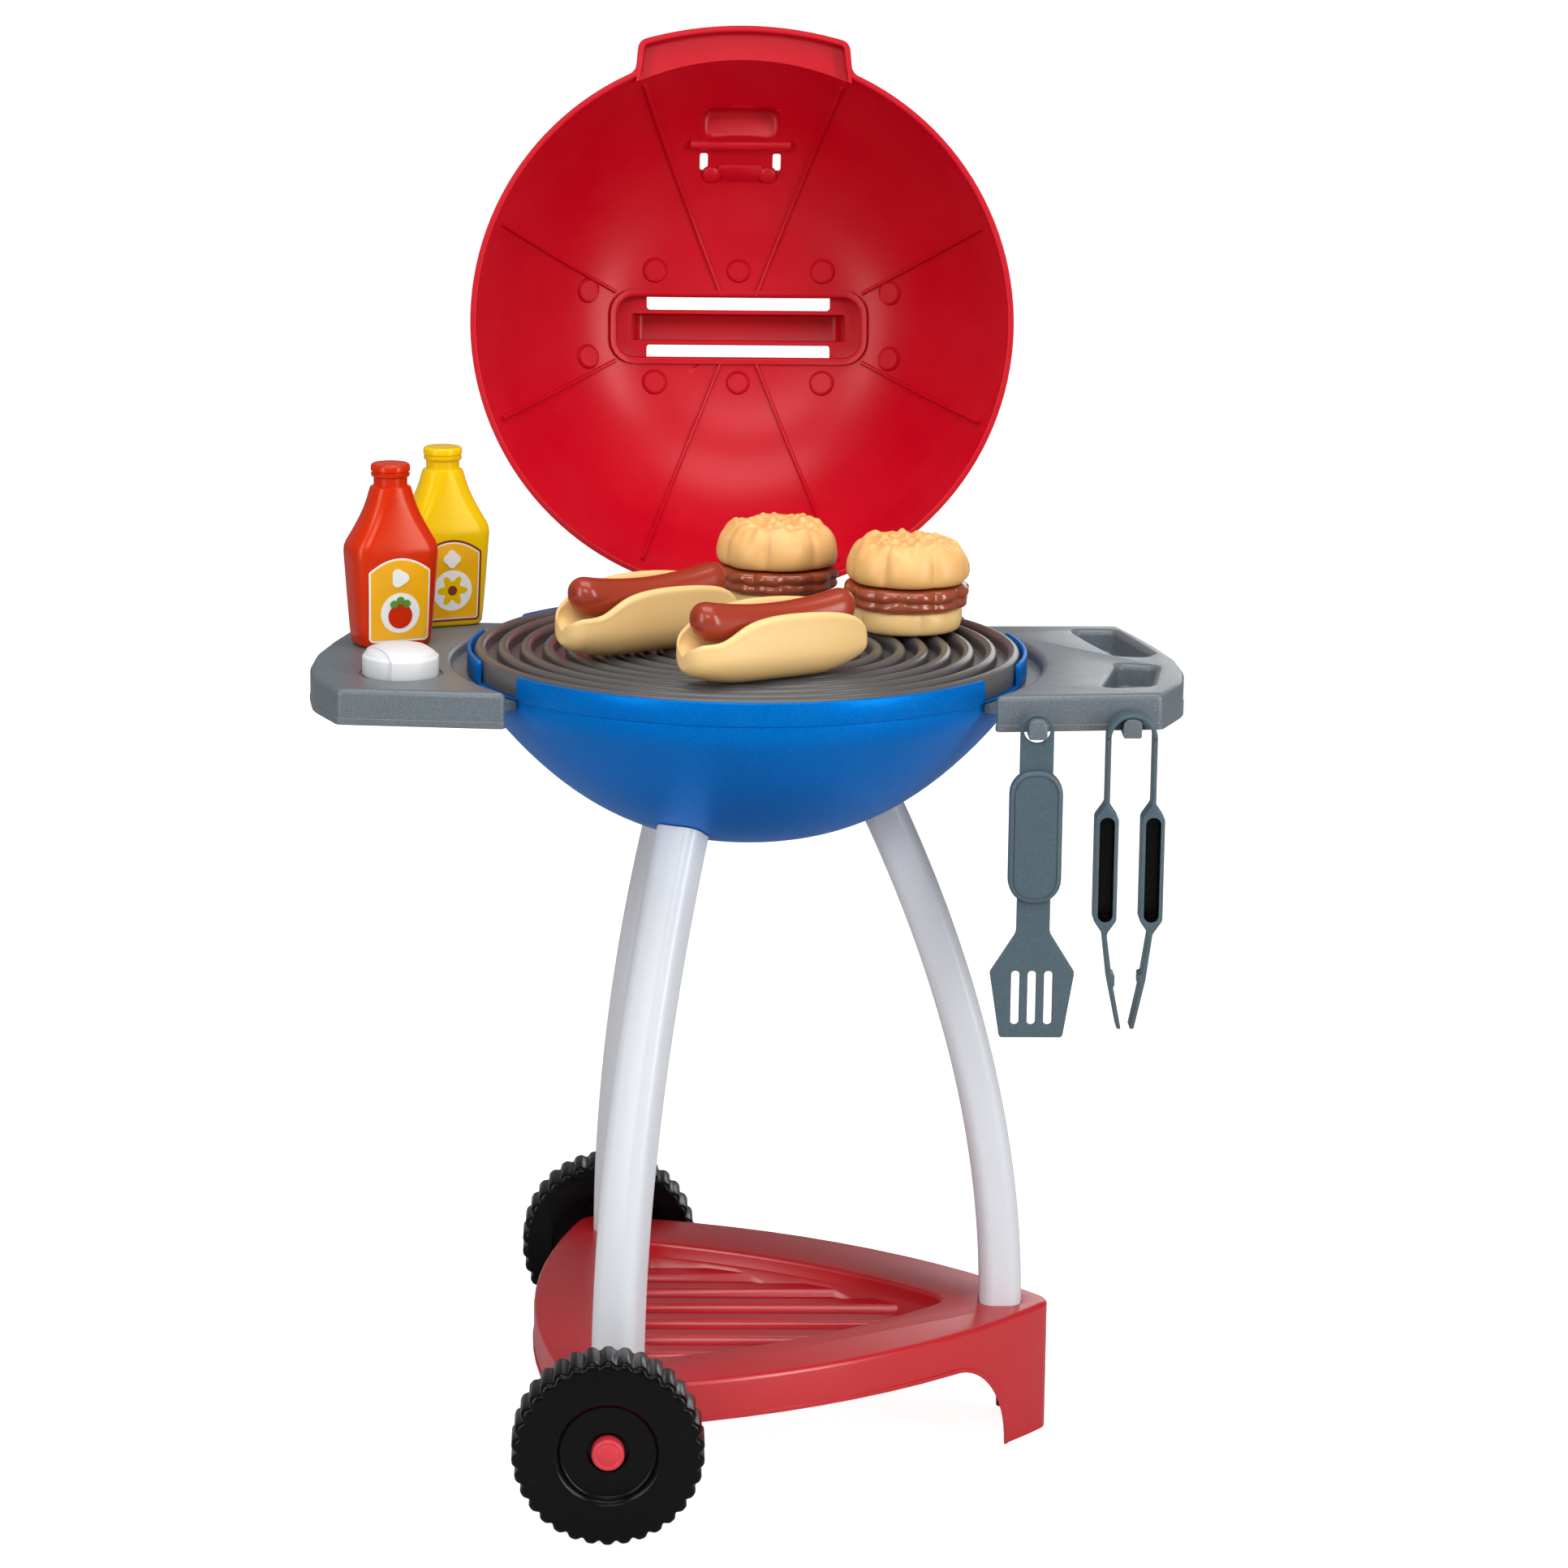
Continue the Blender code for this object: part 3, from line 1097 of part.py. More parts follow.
# Burger pieces: ring radius and height as shares, and how deep the lobes are there as a share
TOP_BUN_SHARES = ((0.90, 0.0, 0.06), (1.0, 0.16, 0.09), (0.99, 0.36, 0.10), (0.88, 0.64, 0.10),
                  (0.66, 0.85, 0.09), (0.36, 0.97, 0.06))
PATTY_SHARES = ((0.90, 0.0, 0.05), (1.0, 0.30, 0.08), (1.0, 0.70, 0.08), (0.90, 1.0, 0.05))
BOTTOM_BUN_SHARES = ((0.82, 0.0, 0.03), (0.96, 0.22, 0.05), (1.0, 0.60, 0.05), (0.95, 1.0, 0.04))
TOP_BUN_LOBES = 9
PATTY_LOBES = 12
BOTTOM_BUN_LOBES = 5
# Hot-dog roll: fullness at its very ends, height of its widest line and slope of its sides
BUN_END_SHARE = 0.40
BUN_WAIST_SHARE = 0.85
BUN_SIDE_SHARE = 0.96
# How blunt long round pieces are at their ends, and how much blunter a sausage is
END_POWER = 2.6
SAUSAGE_END_POWER = 0.6


def lobed_rings(profile, radius, height, lobes, sides):
    """Rings with rounded lobes round an upright axis, from (radius, height, lobe depth) shares."""
    rings = []
    for radius_share, height_share, depth in profile:
        ring = []
        for i in range(sides):
            angle = 2 * pi * i / sides
            wave = radius * radius_share * (1 - depth + depth * abs(cos(lobes * angle / 2)))
            ring.append((wave * cos(angle), wave * sin(angle), height * height_share))
        rings.append(ring)
    return rings


def top_bun_mesh():
    """A lobed bun crown with its flat underside at zero."""
    rings = lobed_rings(TOP_BUN_SHARES, BURGER_RADIUS, TOP_BUN_HEIGHT, TOP_BUN_LOBES,
                        3 * TOP_BUN_LOBES)
    return loft(rings + [[(0, 0, TOP_BUN_HEIGHT)]])


def patty_mesh():
    return loft(lobed_rings(PATTY_SHARES, PATTY_RADIUS, PATTY_HEIGHT, PATTY_LOBES, 2 * PATTY_LOBES))


def bottom_bun_mesh():
    """The burger's lower half, round at the bottom edge."""
    return loft(lobed_rings(BOTTOM_BUN_SHARES, BOTTOM_BUN_RADIUS, BOTTOM_BUN_HEIGHT, BOTTOM_BUN_LOBES,
                            5 * BOTTOM_BUN_LOBES))


def end_fullness(share):
    """How full a rounded long shape is at a share of its length, between zero and one."""
    return sqrt(max(0.0, 1 - abs(2 * share - 1) ** END_POWER))


def bun_top(share):
    """Height of the roll's side walls, which drop towards its ends."""
    return BUN_HEIGHT - BUN_END_DROP * (2 * share - 1) ** 2


def hot_dog_bun_mesh(steps=12, under_steps=8, trough_steps=6):
    """A split roll along X with a trough for the sausage, standing on zero."""
    waist = BUN_END_DROP * BUN_WAIST_SHARE
    rings = []
    for i in range(steps + 1):
        share = i / steps
        full = BUN_END_SHARE + (1 - BUN_END_SHARE) * end_fullness(share)
        x = BUN_LENGTH * (share - 1 / 2)
        half = BUN_WIDTH / 2 * full
        side = half * BUN_SIDE_SHARE
        top = bun_top(share)
        floor = min(BUN_FLOOR, top - BUN_WALL / 2)
        trough = half * (1 - 2 * BUN_WALL / BUN_WIDTH)
        ring = []
        for j in range(under_steps + 1):
            angle = pi * (1 + j / under_steps)
            ring.append((x, half * cos(angle), waist + waist * full * sin(angle)))
        ring.append((x, side, (waist + top + BUN_TALL_SIDE) / 2))
        ring.append((x, half - BUN_WALL * full / 2, top + BUN_TALL_SIDE))
        for j in range(trough_steps + 1):
            angle = -pi * j / trough_steps
            level = top - BUN_WALL * full / 3 + BUN_TALL_SIDE * (1 + cos(angle)) / 2
            ring.append((x, trough * cos(angle), level + (level - floor) * sin(angle)))
        ring.append((x, BUN_WALL * full / 2 - half, top))
        ring.append((x, -side, (waist + top) / 2))
        rings.append(ring)
    return loft(rings)


def sausage_mesh(steps=12, sides=10):
    """A bowed sausage along X whose ends turn up, with its middle's underside at zero."""
    end_z = SAUSAGE_RADIUS + SAUSAGE_BOW
    rings = [[(-SAUSAGE_LENGTH / 2, 0, end_z)]]
    for i in range(1, steps):
        share = (1 - cos(pi * i / steps)) / 2
        radius = SAUSAGE_RADIUS * end_fullness(share) ** SAUSAGE_END_POWER
        x = SAUSAGE_LENGTH * (share - 1 / 2)
        rise = SAUSAGE_RADIUS + SAUSAGE_BOW * (2 * share - 1) ** 2
        rings.append([(x, y, rise + z) for y, z in circle(radius, sides)])
    rings.append([(SAUSAGE_LENGTH / 2, 0, end_z)])
    return loft(rings)


# Bottles

# Half width, half thickness and height up the bottle, as shares of its three sizes
BOTTLE_PROFILE_SHARES = ((0.78, 0.78, 0.0), (0.84, 0.88, 0.015), (1.0, 1.0, 0.52), (0.96, 0.95, 0.58),
                         (0.66, 0.80, 0.73), (0.50, 0.72, 0.83), (0.47, 0.70, 0.875))
# The round neck and cap above, as shares of the cap's radius and of the height
NECK_PROFILE_SHARES = ((0.86, 0.88), (0.86, 0.93), (0.92, 0.935), (1.0, 0.95), (1.0, 0.985), (0.85, 1.0))
BOTTLE_CORNER_SHARE = 0.38


def bottle_mesh():
    """A flat sauce bottle with a round neck and cap, standing on zero."""
    rings = []
    for wide, thick, tall in BOTTLE_PROFILE_SHARES:
        depth = BOTTLE_THICKNESS * thick
        outline = rounded_box_outline(BOTTLE_WIDTH * wide, depth, depth * BOTTLE_CORNER_SHARE)
        rings.append([(x, y, BOTTLE_HEIGHT * tall) for x, y in outline])
    sides = len(rings[0])
    for radius_share, tall in NECK_PROFILE_SHARES:
        rings.append([(x, y, BOTTLE_HEIGHT * tall)
                      for x, y in circle(BOTTLE_NECK_RADIUS * radius_share, sides, pi / sides)])
    return loft(rings)


# Assembly

# Where the food stands on the grate, as shares of its radius, and each hot dog's turn in degrees
BURGER_PLACE_SHARES = (("back", 0.123, 0.666), ("right", 0.597, 0.326))
HOT_DOG_PLACE_SHARES = (("left", -0.368, -0.131, 35), ("front", 0.074, -0.615, 31))
# Where the bottles stand, as shares of the left tray's width and half depth, and their turn in degrees
BOTTLE_PLACE_SHARES = (("ketchup", 0.4556, 0.3675, 22), ("mustard", 0.1056, 0.9573, 22))


def build_stand(root):
    finished("base", base_mesh(), "red", root)
    names = {0: "right_leg", LEG_ANGLE: "rear_leg", -LEG_ANGLE: "front_leg"}
    for angle, name in names.items():
        finished(name, leg_mesh(), "white", root, turn=(0, 0, angle))
    axle_end = WHEEL_OUTER_Y - AXLE_CAP_PROUD - TOUCH_GAP
    axle = cylinder(AXLE_RADIUS, (0, -axle_end, 0), (0, axle_end, 0), AXLE_ROUND)
    finished("axle", axle, "steel", root, (WHEEL_X, 0, WHEEL_RADIUS))
    for side, name in ((-1, "front"), (1, "rear")):
        turn = (pi / 2, 0, 0) if side < 0 else (-pi / 2, 0, 0)
        inner = (WHEEL_X, side * WHEEL_INNER_Y, WHEEL_RADIUS)
        finished(name + "_wheel", wheel_mesh(), "black", root, inner, turn)
        outer = (WHEEL_X, side * WHEEL_OUTER_Y, WHEEL_RADIUS)
        finished(name + "_axle_cap", axle_cap_mesh(), "cap_red", root, outer, turn)


def build_bowl(root):
    finished("bowl", bowl_mesh(), "blue", root)
    finished("grate", grate_mesh(), "grate_grey", root, crease=50)
    for number, angle in enumerate((0, LEG_ANGLE, -LEG_ANGLE), 1):
        point, direction, wall = leg_screw_frame(angle)
        seat = point + direction * (wall * LEG_SCREW_SEAT_SHARE)
        finished(f"leg_screw_{number}", aimed(screw(LEG_SCREW_LENGTH), seat, direction), "steel", root)
    number = 1
    for side in (-1, 1):
        for angle in (-TRAY_SCREW_ANGLE, TRAY_SCREW_ANGLE):
            point, inward = tray_screw_frame(side, angle)
            finished(f"tray_screw_{number}", aimed(screw(TRAY_SCREW_LENGTH), point, inward), "steel", root)
            number += 1


def build_trays(root):
    finished("left_tray", left_tray_mesh(), "tray_grey", root)
    finished("right_tray", right_tray_mesh(), "tray_grey", root)
    turning = new_object("knob_axis", None, root, (KNOB_X, KNOB_Y, TRAY_TOP_Z), (0, 0, KNOB_TURN))
    finished("knob", knob_mesh(), "white", turning)
    finished("knob_clip", knob_clip_mesh(), "black", turning)
    seat = -TRAY_WALL - KNOB_CLIP_THICKNESS - 3 * TOUCH_GAP
    fastener = moved(screw(KNOB_SCREW_LENGTH - TOUCH_GAP), (0, 0, seat), "X", pi)
    finished("knob_screw", fastener, "steel", turning)


def build_lid(root):
    finished("lid", lid_mesh(), "red", root, (0, HINGE_Y, HINGE_Z), (-LID_OPEN, 0, 0))
    reach = KNUCKLE_WIDTH / 2 + RUN_GAP + LUG_WIDTH + TOUCH_GAP
    for side, name in ((-1, "left"), (1, "right")):
        pin = cylinder(PIN_RADIUS, (-reach, 0, 0), (reach, 0, 0))
        finished(name + "_hinge_pin", pin, "steel", root, (side * HINGE_X, HINGE_Y, HINGE_Z))


def build_utensils(root):
    ring_z = hanging_height(SPATULA_HOLE_RADIUS)
    ring_y = tray_front_y(SPATULA_HOOK_X) - HOOK_LENGTH / 2
    finished("spatula", spatula_mesh(), "utensil_grey", root, (SPATULA_HOOK_X, ring_y, ring_z))
    bow_z = hanging_height(TONGS_BOW_RADIUS - TONGS_BAND)
    bow_y = tray_front_y(TONGS_HOOK_X - TONGS_BOW_RADIUS) - RUN_GAP - TONGS_DEPTH / 2
    hanging = new_object("tongs_axis", None, root, (TONGS_HOOK_X, bow_y, bow_z))
    finished("tongs_bow", tongs_bow_mesh(), "utensil_grey", hanging)
    for side, name in ((-1, "left"), (1, "right")):
        mesh = tongs_arm_mesh()
        if side < 0:
            mesh.transform(Matrix.Scale(-1, 4, (1, 0, 0)))
            mesh.flip_normals()
        offset = side * (TONGS_BOW_RADIUS - TONGS_BAND / 2)
        mesh = moved(mesh, (-offset, 0, 0))
        finished(f"tongs_{name}_arm", mesh, "utensil_grey", hanging, (offset, 0, 0))


def build_food(root):
    patty_z = FOOD_Z + BOTTOM_BUN_HEIGHT + TOUCH_GAP
    top_z = patty_z + PATTY_HEIGHT + TOUCH_GAP
    for name, x, y in BURGER_PLACE_SHARES:
        x *= GRATE_RADIUS
        y *= GRATE_RADIUS
        finished(name + "_bottom_bun", bottom_bun_mesh(), "bun", root, (x, y, FOOD_Z))
        finished(name + "_patty", patty_mesh(), "patty", root, (x, y, patty_z))
        finished(name + "_top_bun", top_bun_mesh(), "bun", root, (x, y, top_z))
    sausage_z = FOOD_Z + BUN_FLOOR + 3 * TOUCH_GAP
    for name, x, y, degrees in HOT_DOG_PLACE_SHARES:
        x *= GRATE_RADIUS
        y *= GRATE_RADIUS
        turn = (0, 0, radians(degrees))
        finished(name + "_hot_dog_bun", hot_dog_bun_mesh(), "bun", root, (x, y, FOOD_Z), turn)
        finished(name + "_sausage", sausage_mesh(), "sausage", root, (x, y, sausage_z), turn)


def build_bottles(root):
    for name, x, y, degrees in BOTTLE_PLACE_SHARES:
        across, back = tray_point(x, y)
        place = (-across, back, TRAY_TOP_Z + TOUCH_GAP)
        finished(name + "_bottle", bottle_mesh(), name, root, place, (0, 0, radians(degrees)))


def build_grill():
    for thing in list(bpy.data.objects):
        bpy.data.objects.remove(thing, do_unlink=True)
    root = new_object("grill", None, place=(0, CENTRE_Y, 0))
    build_stand(root)
    build_bowl(root)
    build_trays(root)
    build_lid(root)
    build_utensils(root)
    build_food(root)
    build_bottles(root)


build_grill()
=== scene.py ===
from math import asin, atan2, cos, exp, pi, radians, sin, sqrt, tan

import bmesh
import bpy
from mathutils import Matrix, Vector, noise


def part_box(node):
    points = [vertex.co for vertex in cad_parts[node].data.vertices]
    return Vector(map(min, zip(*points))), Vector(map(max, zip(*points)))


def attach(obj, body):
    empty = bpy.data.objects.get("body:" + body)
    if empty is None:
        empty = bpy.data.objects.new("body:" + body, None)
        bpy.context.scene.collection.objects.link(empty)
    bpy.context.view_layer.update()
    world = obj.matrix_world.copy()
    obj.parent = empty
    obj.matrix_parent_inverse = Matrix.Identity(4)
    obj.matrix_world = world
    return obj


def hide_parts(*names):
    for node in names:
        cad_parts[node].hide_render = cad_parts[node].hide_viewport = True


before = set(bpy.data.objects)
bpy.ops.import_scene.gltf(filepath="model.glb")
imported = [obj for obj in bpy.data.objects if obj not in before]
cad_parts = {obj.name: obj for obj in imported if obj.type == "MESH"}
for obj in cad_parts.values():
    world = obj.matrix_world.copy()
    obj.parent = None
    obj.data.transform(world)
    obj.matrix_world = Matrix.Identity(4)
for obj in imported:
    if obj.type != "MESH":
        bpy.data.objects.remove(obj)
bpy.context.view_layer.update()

scene = bpy.context.scene
for spare in ("Cube", "Light", "Camera"):
    if spare in bpy.data.objects:
        bpy.data.objects.remove(bpy.data.objects[spare], do_unlink=True)

# Shapes are drawn in millimetres about the bowl's upright axis, then set into the frame
grateLow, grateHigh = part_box("grate")
axis = Vector((0, (grateLow.y + grateHigh.y) / 2, 0))
intoFrame = Matrix.Translation(axis) @ Matrix.Scale(0.001, 4)
overrun = 4  # how far a cutting tool passes the surface it cuts
turnedSides = 160  # sides of the large turned shapes


class Settings(dict):  # a dictionary whose entries are also read as attributes
    __getattr__ = dict.__getitem__


def boxOf(node):
    low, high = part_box(node)
    return (Vector(low) - axis) * 1000, (Vector(high) - axis) * 1000


def middleOf(node):
    low, high = boxOf(node)
    return (low + high) / 2


def footOf(node):
    middle = middleOf(node)
    return Vector((middle.x, middle.y, boxOf(node)[0].z))


# Outlines, as lists of points in a plane
def arc(x, y, wide, tall, start, end, steps):  # part of an ellipse, both ends included
    return [(x + wide * cos(a), y + tall * sin(a))
            for a in (start + (end - start) * i / steps for i in range(steps + 1))]


def circle(radius, sides):
    return arc(0, 0, radius, radius, 0, 2 * pi, sides)[:-1]


def polar(reach, sides):  # a closed outline whose distance from its centre depends on the angle
    return [(reach(a) * cos(a), reach(a) * sin(a)) for a in (2 * pi * i / sides for i in range(sides))]


def roundTop(radius, top, steps=4):  # (growth, height) pairs of a rounded top edge
    return arc(-radius, top - radius, radius, radius, 0, pi / 2, steps)


def outset(outline, distance):  # an anticlockwise outline moved outwards with mitred corners
    moved = []
    for i, point in enumerate(outline):
        here = Vector(point)
        before = (here - Vector(outline[i - 1])).normalized()
        after = (Vector(outline[(i + 1) % len(outline)]) - here).normalized()
        sideBefore, sideAfter = Vector((before.y, -before.x)), Vector((after.y, -after.x))
        mitre = (sideBefore + sideAfter) / max(0.3, 1 + sideBefore.dot(sideAfter))
        moved.append(tuple(here + mitre * distance))
    return moved


def softCorners(outline, radii, steps=5):  # numbered corners replaced by tangent arcs
    points = []
    for i, point in enumerate(outline):
        radius = radii.get(i, 0)
        here = Vector(point)
        back = (Vector(outline[i - 1]) - here).normalized()
        ahead = (Vector(outline[(i + 1) % len(outline)]) - here).normalized()
        half = back.angle(ahead) / 2
        if radius <= 0 or half > pi / 2 - 0.01:
            points.append(tuple(here))
            continue
        centre = here + (back + ahead).normalized() * radius / sin(half)
        first = here + back * radius / tan(half) - centre
        last = here + ahead * radius / tan(half) - centre
        turn = first.angle(last)
        for j in range(steps + 1):
            share = j / steps
            arm = (first * sin((1 - share) * turn) + last * sin(share * turn)) / sin(turn)
            points.append(tuple(centre + arm))
    return points


def allCorners(radius):
    return dict.fromkeys(range(4), radius)


def roundedRect(length, width, radius, steps=5, centre=(0, 0)):
    x, y = length / 2, width / 2
    corners = [(centre[0] + a * x, centre[1] + b * y) for a, b in ((1, -1), (1, 1), (-1, 1), (-1, -1))]
    return softCorners(corners, allCorners(radius), steps)


def bowedLine(start, end, bulge, steps):  # an arc from start up to but without end, bulging to its right
    start, end = Vector(start), Vector(end)
    along = end - start
    half = along.length / 2
    side = Vector((along.y, -along.x)).normalized()
    radius = (half * half + bulge * bulge) / (2 * bulge)
    centre = (start + end) / 2 - side * (radius - bulge)
    spread = asin(half / radius)
    way = along.normalized()
    return [tuple(centre + side * radius * cos(a) + way * radius * sin(a))
            for a in (spread * (2 * i / steps - 1) for i in range(steps))]


def finer(outline, step=1.5):  # long edges split so that they can bend
    points = []
    for i, point in enumerate(outline):
        start, end = Vector(outline[i - 1]), Vector(point)
        count = max(1, int((end - start).length / step))
        points += [tuple(start.lerp(end, (k + 1) / count)) for k in range(count)]
    return points


# Meshes made from outlines
def meshOf(shape):
    mesh = bpy.data.meshes.new("shape")
    shape.to_mesh(mesh)
    shape.free()
    return mesh


def loft(rings, closed=False):  # rings of points joined by quads, a ring of one point is a tip
    shape = bmesh.new()
    loops = [[shape.verts.new(point) for point in ring] for ring in rings]
    for low, high in zip(loops, loops[1:] + loops[:closed]):
        count = max(len(low), len(high))
        for i in range(count):
            j = (i + 1) % count
            corners = low[i % len(low)], low[j % len(low)], high[j % len(high)], high[i % len(high)]
            shape.faces.new(dict.fromkeys(corners))
    for cap in () if closed else (loops[0], loops[-1]):
        if len(cap) > 2:
            shape.faces.new(cap)
    bmesh.ops.recalc_face_normals(shape, faces=shape.faces)
    return meshOf(shape)


def spin(profile, sides=96, closed=False):  # (radius, height) pairs turned about Z
    return loft([[(x, y, z) for x, y in circle(r, sides)] if r else [(0, 0, z)] for r, z in profile], closed)


def stack(outline, levels, closed=False):  # walls through (growth, height) pairs
    return loft([[(x, y, z) for x, y in outset(outline, growth)] for growth, z in levels], closed)


def prism(outline, low, high):
    return stack(outline, [(0, low), (0, high)])


def standing(outline, levels):  # a plate in the XZ plane through (growth, y) pairs
    return loft([[(x, y, z) for x, z in outset(outline, growth)] for growth, y in levels])


def across(outline, low, high):  # a bar along X with an outline in the YZ plane
    return loft([[(x, y, z) for y, z in outline] for x in (low, high)])


def softPlate(outline, half, edge, soft=3):  # a standing plate with round long edges
    return standing(outline, arc(-edge, edge - half, edge, -edge, pi / 2, 0, soft)
                    + arc(-edge, half - edge, edge, edge, 0, pi / 2, soft))


def combine(operation, mesh, tools):
    for tool in tools:
        pair = [bpy.data.objects.new("work", data) for data in (mesh, tool)]
        for thing in pair:
            scene.collection.objects.link(thing)
        modifier = pair[0].modifiers.new("work", "BOOLEAN")
        modifier.object, modifier.operation, modifier.solver = pair[1], operation, "EXACT"
        graph = bpy.context.evaluated_depsgraph_get()
        mesh = bpy.data.meshes.new_from_object(pair[0].evaluated_get(graph))
        for thing in pair:
            bpy.data.objects.remove(thing, do_unlink=True)
    return mesh


def cut(mesh, *tools):
    return combine("DIFFERENCE", mesh, tools)


def add(mesh, *others):
    return combine("UNION", mesh, others)


def common(mesh, other):
    return combine("INTERSECT", mesh, [other])


def beside(*meshes):  # details laid into one mesh without a Boolean
    shape = bmesh.new()
    for mesh in meshes:
        shape.from_mesh(mesh)
    return meshOf(shape)


def moved(mesh, place=(0, 0, 0), turn=0, axis="Z"):
    mesh.transform(Matrix.Translation(place) @ Matrix.Rotation(turn, 4, axis))
    return mesh


def aimed(mesh, place, direction):  # Z turned to a direction, then set in place
    mesh.transform(Matrix.Translation(place) @ Vector(direction).to_track_quat("Z", "Y").to_matrix().to_4x4())
    return mesh


def rod(radius, start, end, sides=24):
    way = Vector(end) - Vector(start)
    return aimed(spin([(0, 0), (radius, 0), (radius, way.length), (0, way.length)], sides), start, way)


def piece(name, mesh, finish, body, nodes=(), edge=0, segments=2, angle=40, fine=False, lining=None):
    mesh.transform(intoFrame)
    faceFinishIndices = [face.material_index for face in mesh.polygons]
    mesh.materials.clear()
    mesh.materials.append(finishes[finish])
    # where a second finish is given, faces with material index 1 take it; for the tongs this is painted shade
    # in the grip hollows
    if lining:
        mesh.materials.append(finishes[lining])
        mesh.polygons.foreach_set("material_index", faceFinishIndices)
    mesh.polygons.foreach_set("use_smooth", [True] * len(mesh.polygons))
    thing = bpy.data.objects.new(name, mesh)
    scene.collection.objects.link(thing)
    if edge:
        soft = thing.modifiers.new("soft edges", "BEVEL")
        soft.width, soft.segments = edge * 0.001, segments
        soft.limit_method, soft.angle_limit = "ANGLE", radians(angle)
        soft.harden_normals = soft.use_clamp_overlap = True
    elif fine:
        smooth = thing.modifiers.new("fine surface", "SUBSURF")
        smooth.levels = smooth.render_levels = 1
    else:
        mesh.set_sharp_from_angle(angle=radians(angle + 8))
    if nodes:
        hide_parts(*nodes)
    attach(thing, body)


# Shader nodes, where an input that is a socket is linked and any other value is set
def fill(made, inputs):
    for key, value in inputs.items():
        if isinstance(value, bpy.types.NodeSocket):
            made.id_data.links.new(value, made.inputs[key])
        else:
            made.inputs[key].default_value = value


def node(tree, kind, inputs=None, **settings):
    made = tree.nodes.new(kind)
    for key, value in settings.items():
        setattr(made, key, value)
    fill(made, inputs or {})
    return made


def sums(tree, operation, *values):
    return node(tree, "ShaderNodeMath", dict(enumerate(values)), operation=operation).outputs[0]


def mouldedSkinGroup():  # clouded colour, flecks, fine grain and faint scuffs of moulded plastic
    group = bpy.data.node_groups.new("mouldedSkin", "ShaderNodeTree")
    inputLabels = ("Colour", "Clouding", "Grain Scale", "Grain", "Roughness", "Roughness Spread", "Scuffs",
                   "Fleck Colour", "Fleck Scale", "Flecks")
    for way, labels in (("INPUT", inputLabels), ("OUTPUT", ("Colour", "Roughness", "Height"))):
        for label in labels:
            kind = "NodeSocketColor" if "Colour" in label else "NodeSocketFloat"
            group.interface.new_socket(label, in_out=way, socket_type=kind)
    given, end = group.nodes.new("NodeGroupInput").outputs, group.nodes.new("NodeGroupOutput")
    place = node(group, "ShaderNodeTexCoord").outputs["Object"]
    textures = ({"Scale": 14, "Detail": 3, "Roughness": 0.55},
                {"Scale": given["Grain Scale"], "Detail": 2, "Roughness": 0.6},
                {"Scale": 60, "Detail": 6, "Roughness": 0.7, "Distortion": 1.5})
    cloud, fine, scratch = (node(group, "ShaderNodeTexNoise", {"Vector": place, **inputs}).outputs["Fac"]
                            for inputs in textures)
    cells = node(group, "ShaderNodeTexVoronoi", {"Vector": place, "Scale": given["Fleck Scale"]})

    def maths(operation, *values):
        return sums(group, operation, *values)

    def portion(value, low, high):
        inputs = {"Value": value, "From Min": low, "From Max": high}
        return node(group, "ShaderNodeMapRange", inputs).outputs["Result"]

    def blend(share, first, second):
        inputs = {"Factor": share, "A": first, "B": second}
        return node(group, "ShaderNodeMix", inputs, data_type="RGBA").outputs["Result"]

    lift = maths("MULTIPLY", maths("SUBTRACT", cloud, 0.5), given["Clouding"])
    tint = node(group, "ShaderNodeHueSaturation", {
        "Color": given["Colour"], "Value": maths("MULTIPLY_ADD", lift, 2, 1),
        "Saturation": maths("MULTIPLY_ADD", lift, -0.6, 1)})
    scuff = maths("MULTIPLY", portion(scratch, 0.6, 0.78), given["Scuffs"])
    pale = blend(maths("MULTIPLY", scuff, 0.12), tint.outputs["Color"], (0.8, 0.8, 0.8, 1))
    chance = node(group, "ShaderNodeSeparateColor", {"Color": cells.outputs["Color"]}).outputs["Red"]
    fleck = maths("MULTIPLY", portion(chance, 0.55, 1), given["Flecks"])
    spread = maths("MULTIPLY", maths("SUBTRACT", scratch, 0.5), given["Roughness Spread"])
    height = maths("ADD", maths("MULTIPLY", fine, given["Grain"]), maths("MULTIPLY", scuff, -0.2))
    fill(end, {"Colour": blend(fleck, pale, given["Fleck Colour"]), "Height": maths("ADD", height, fleck),
               "Roughness": maths("ADD", maths("MULTIPLY_ADD", spread, 2, given["Roughness"]),
                                  maths("MULTIPLY", scuff, 0.25))})
    return group


mouldedSkin = mouldedSkinGroup()


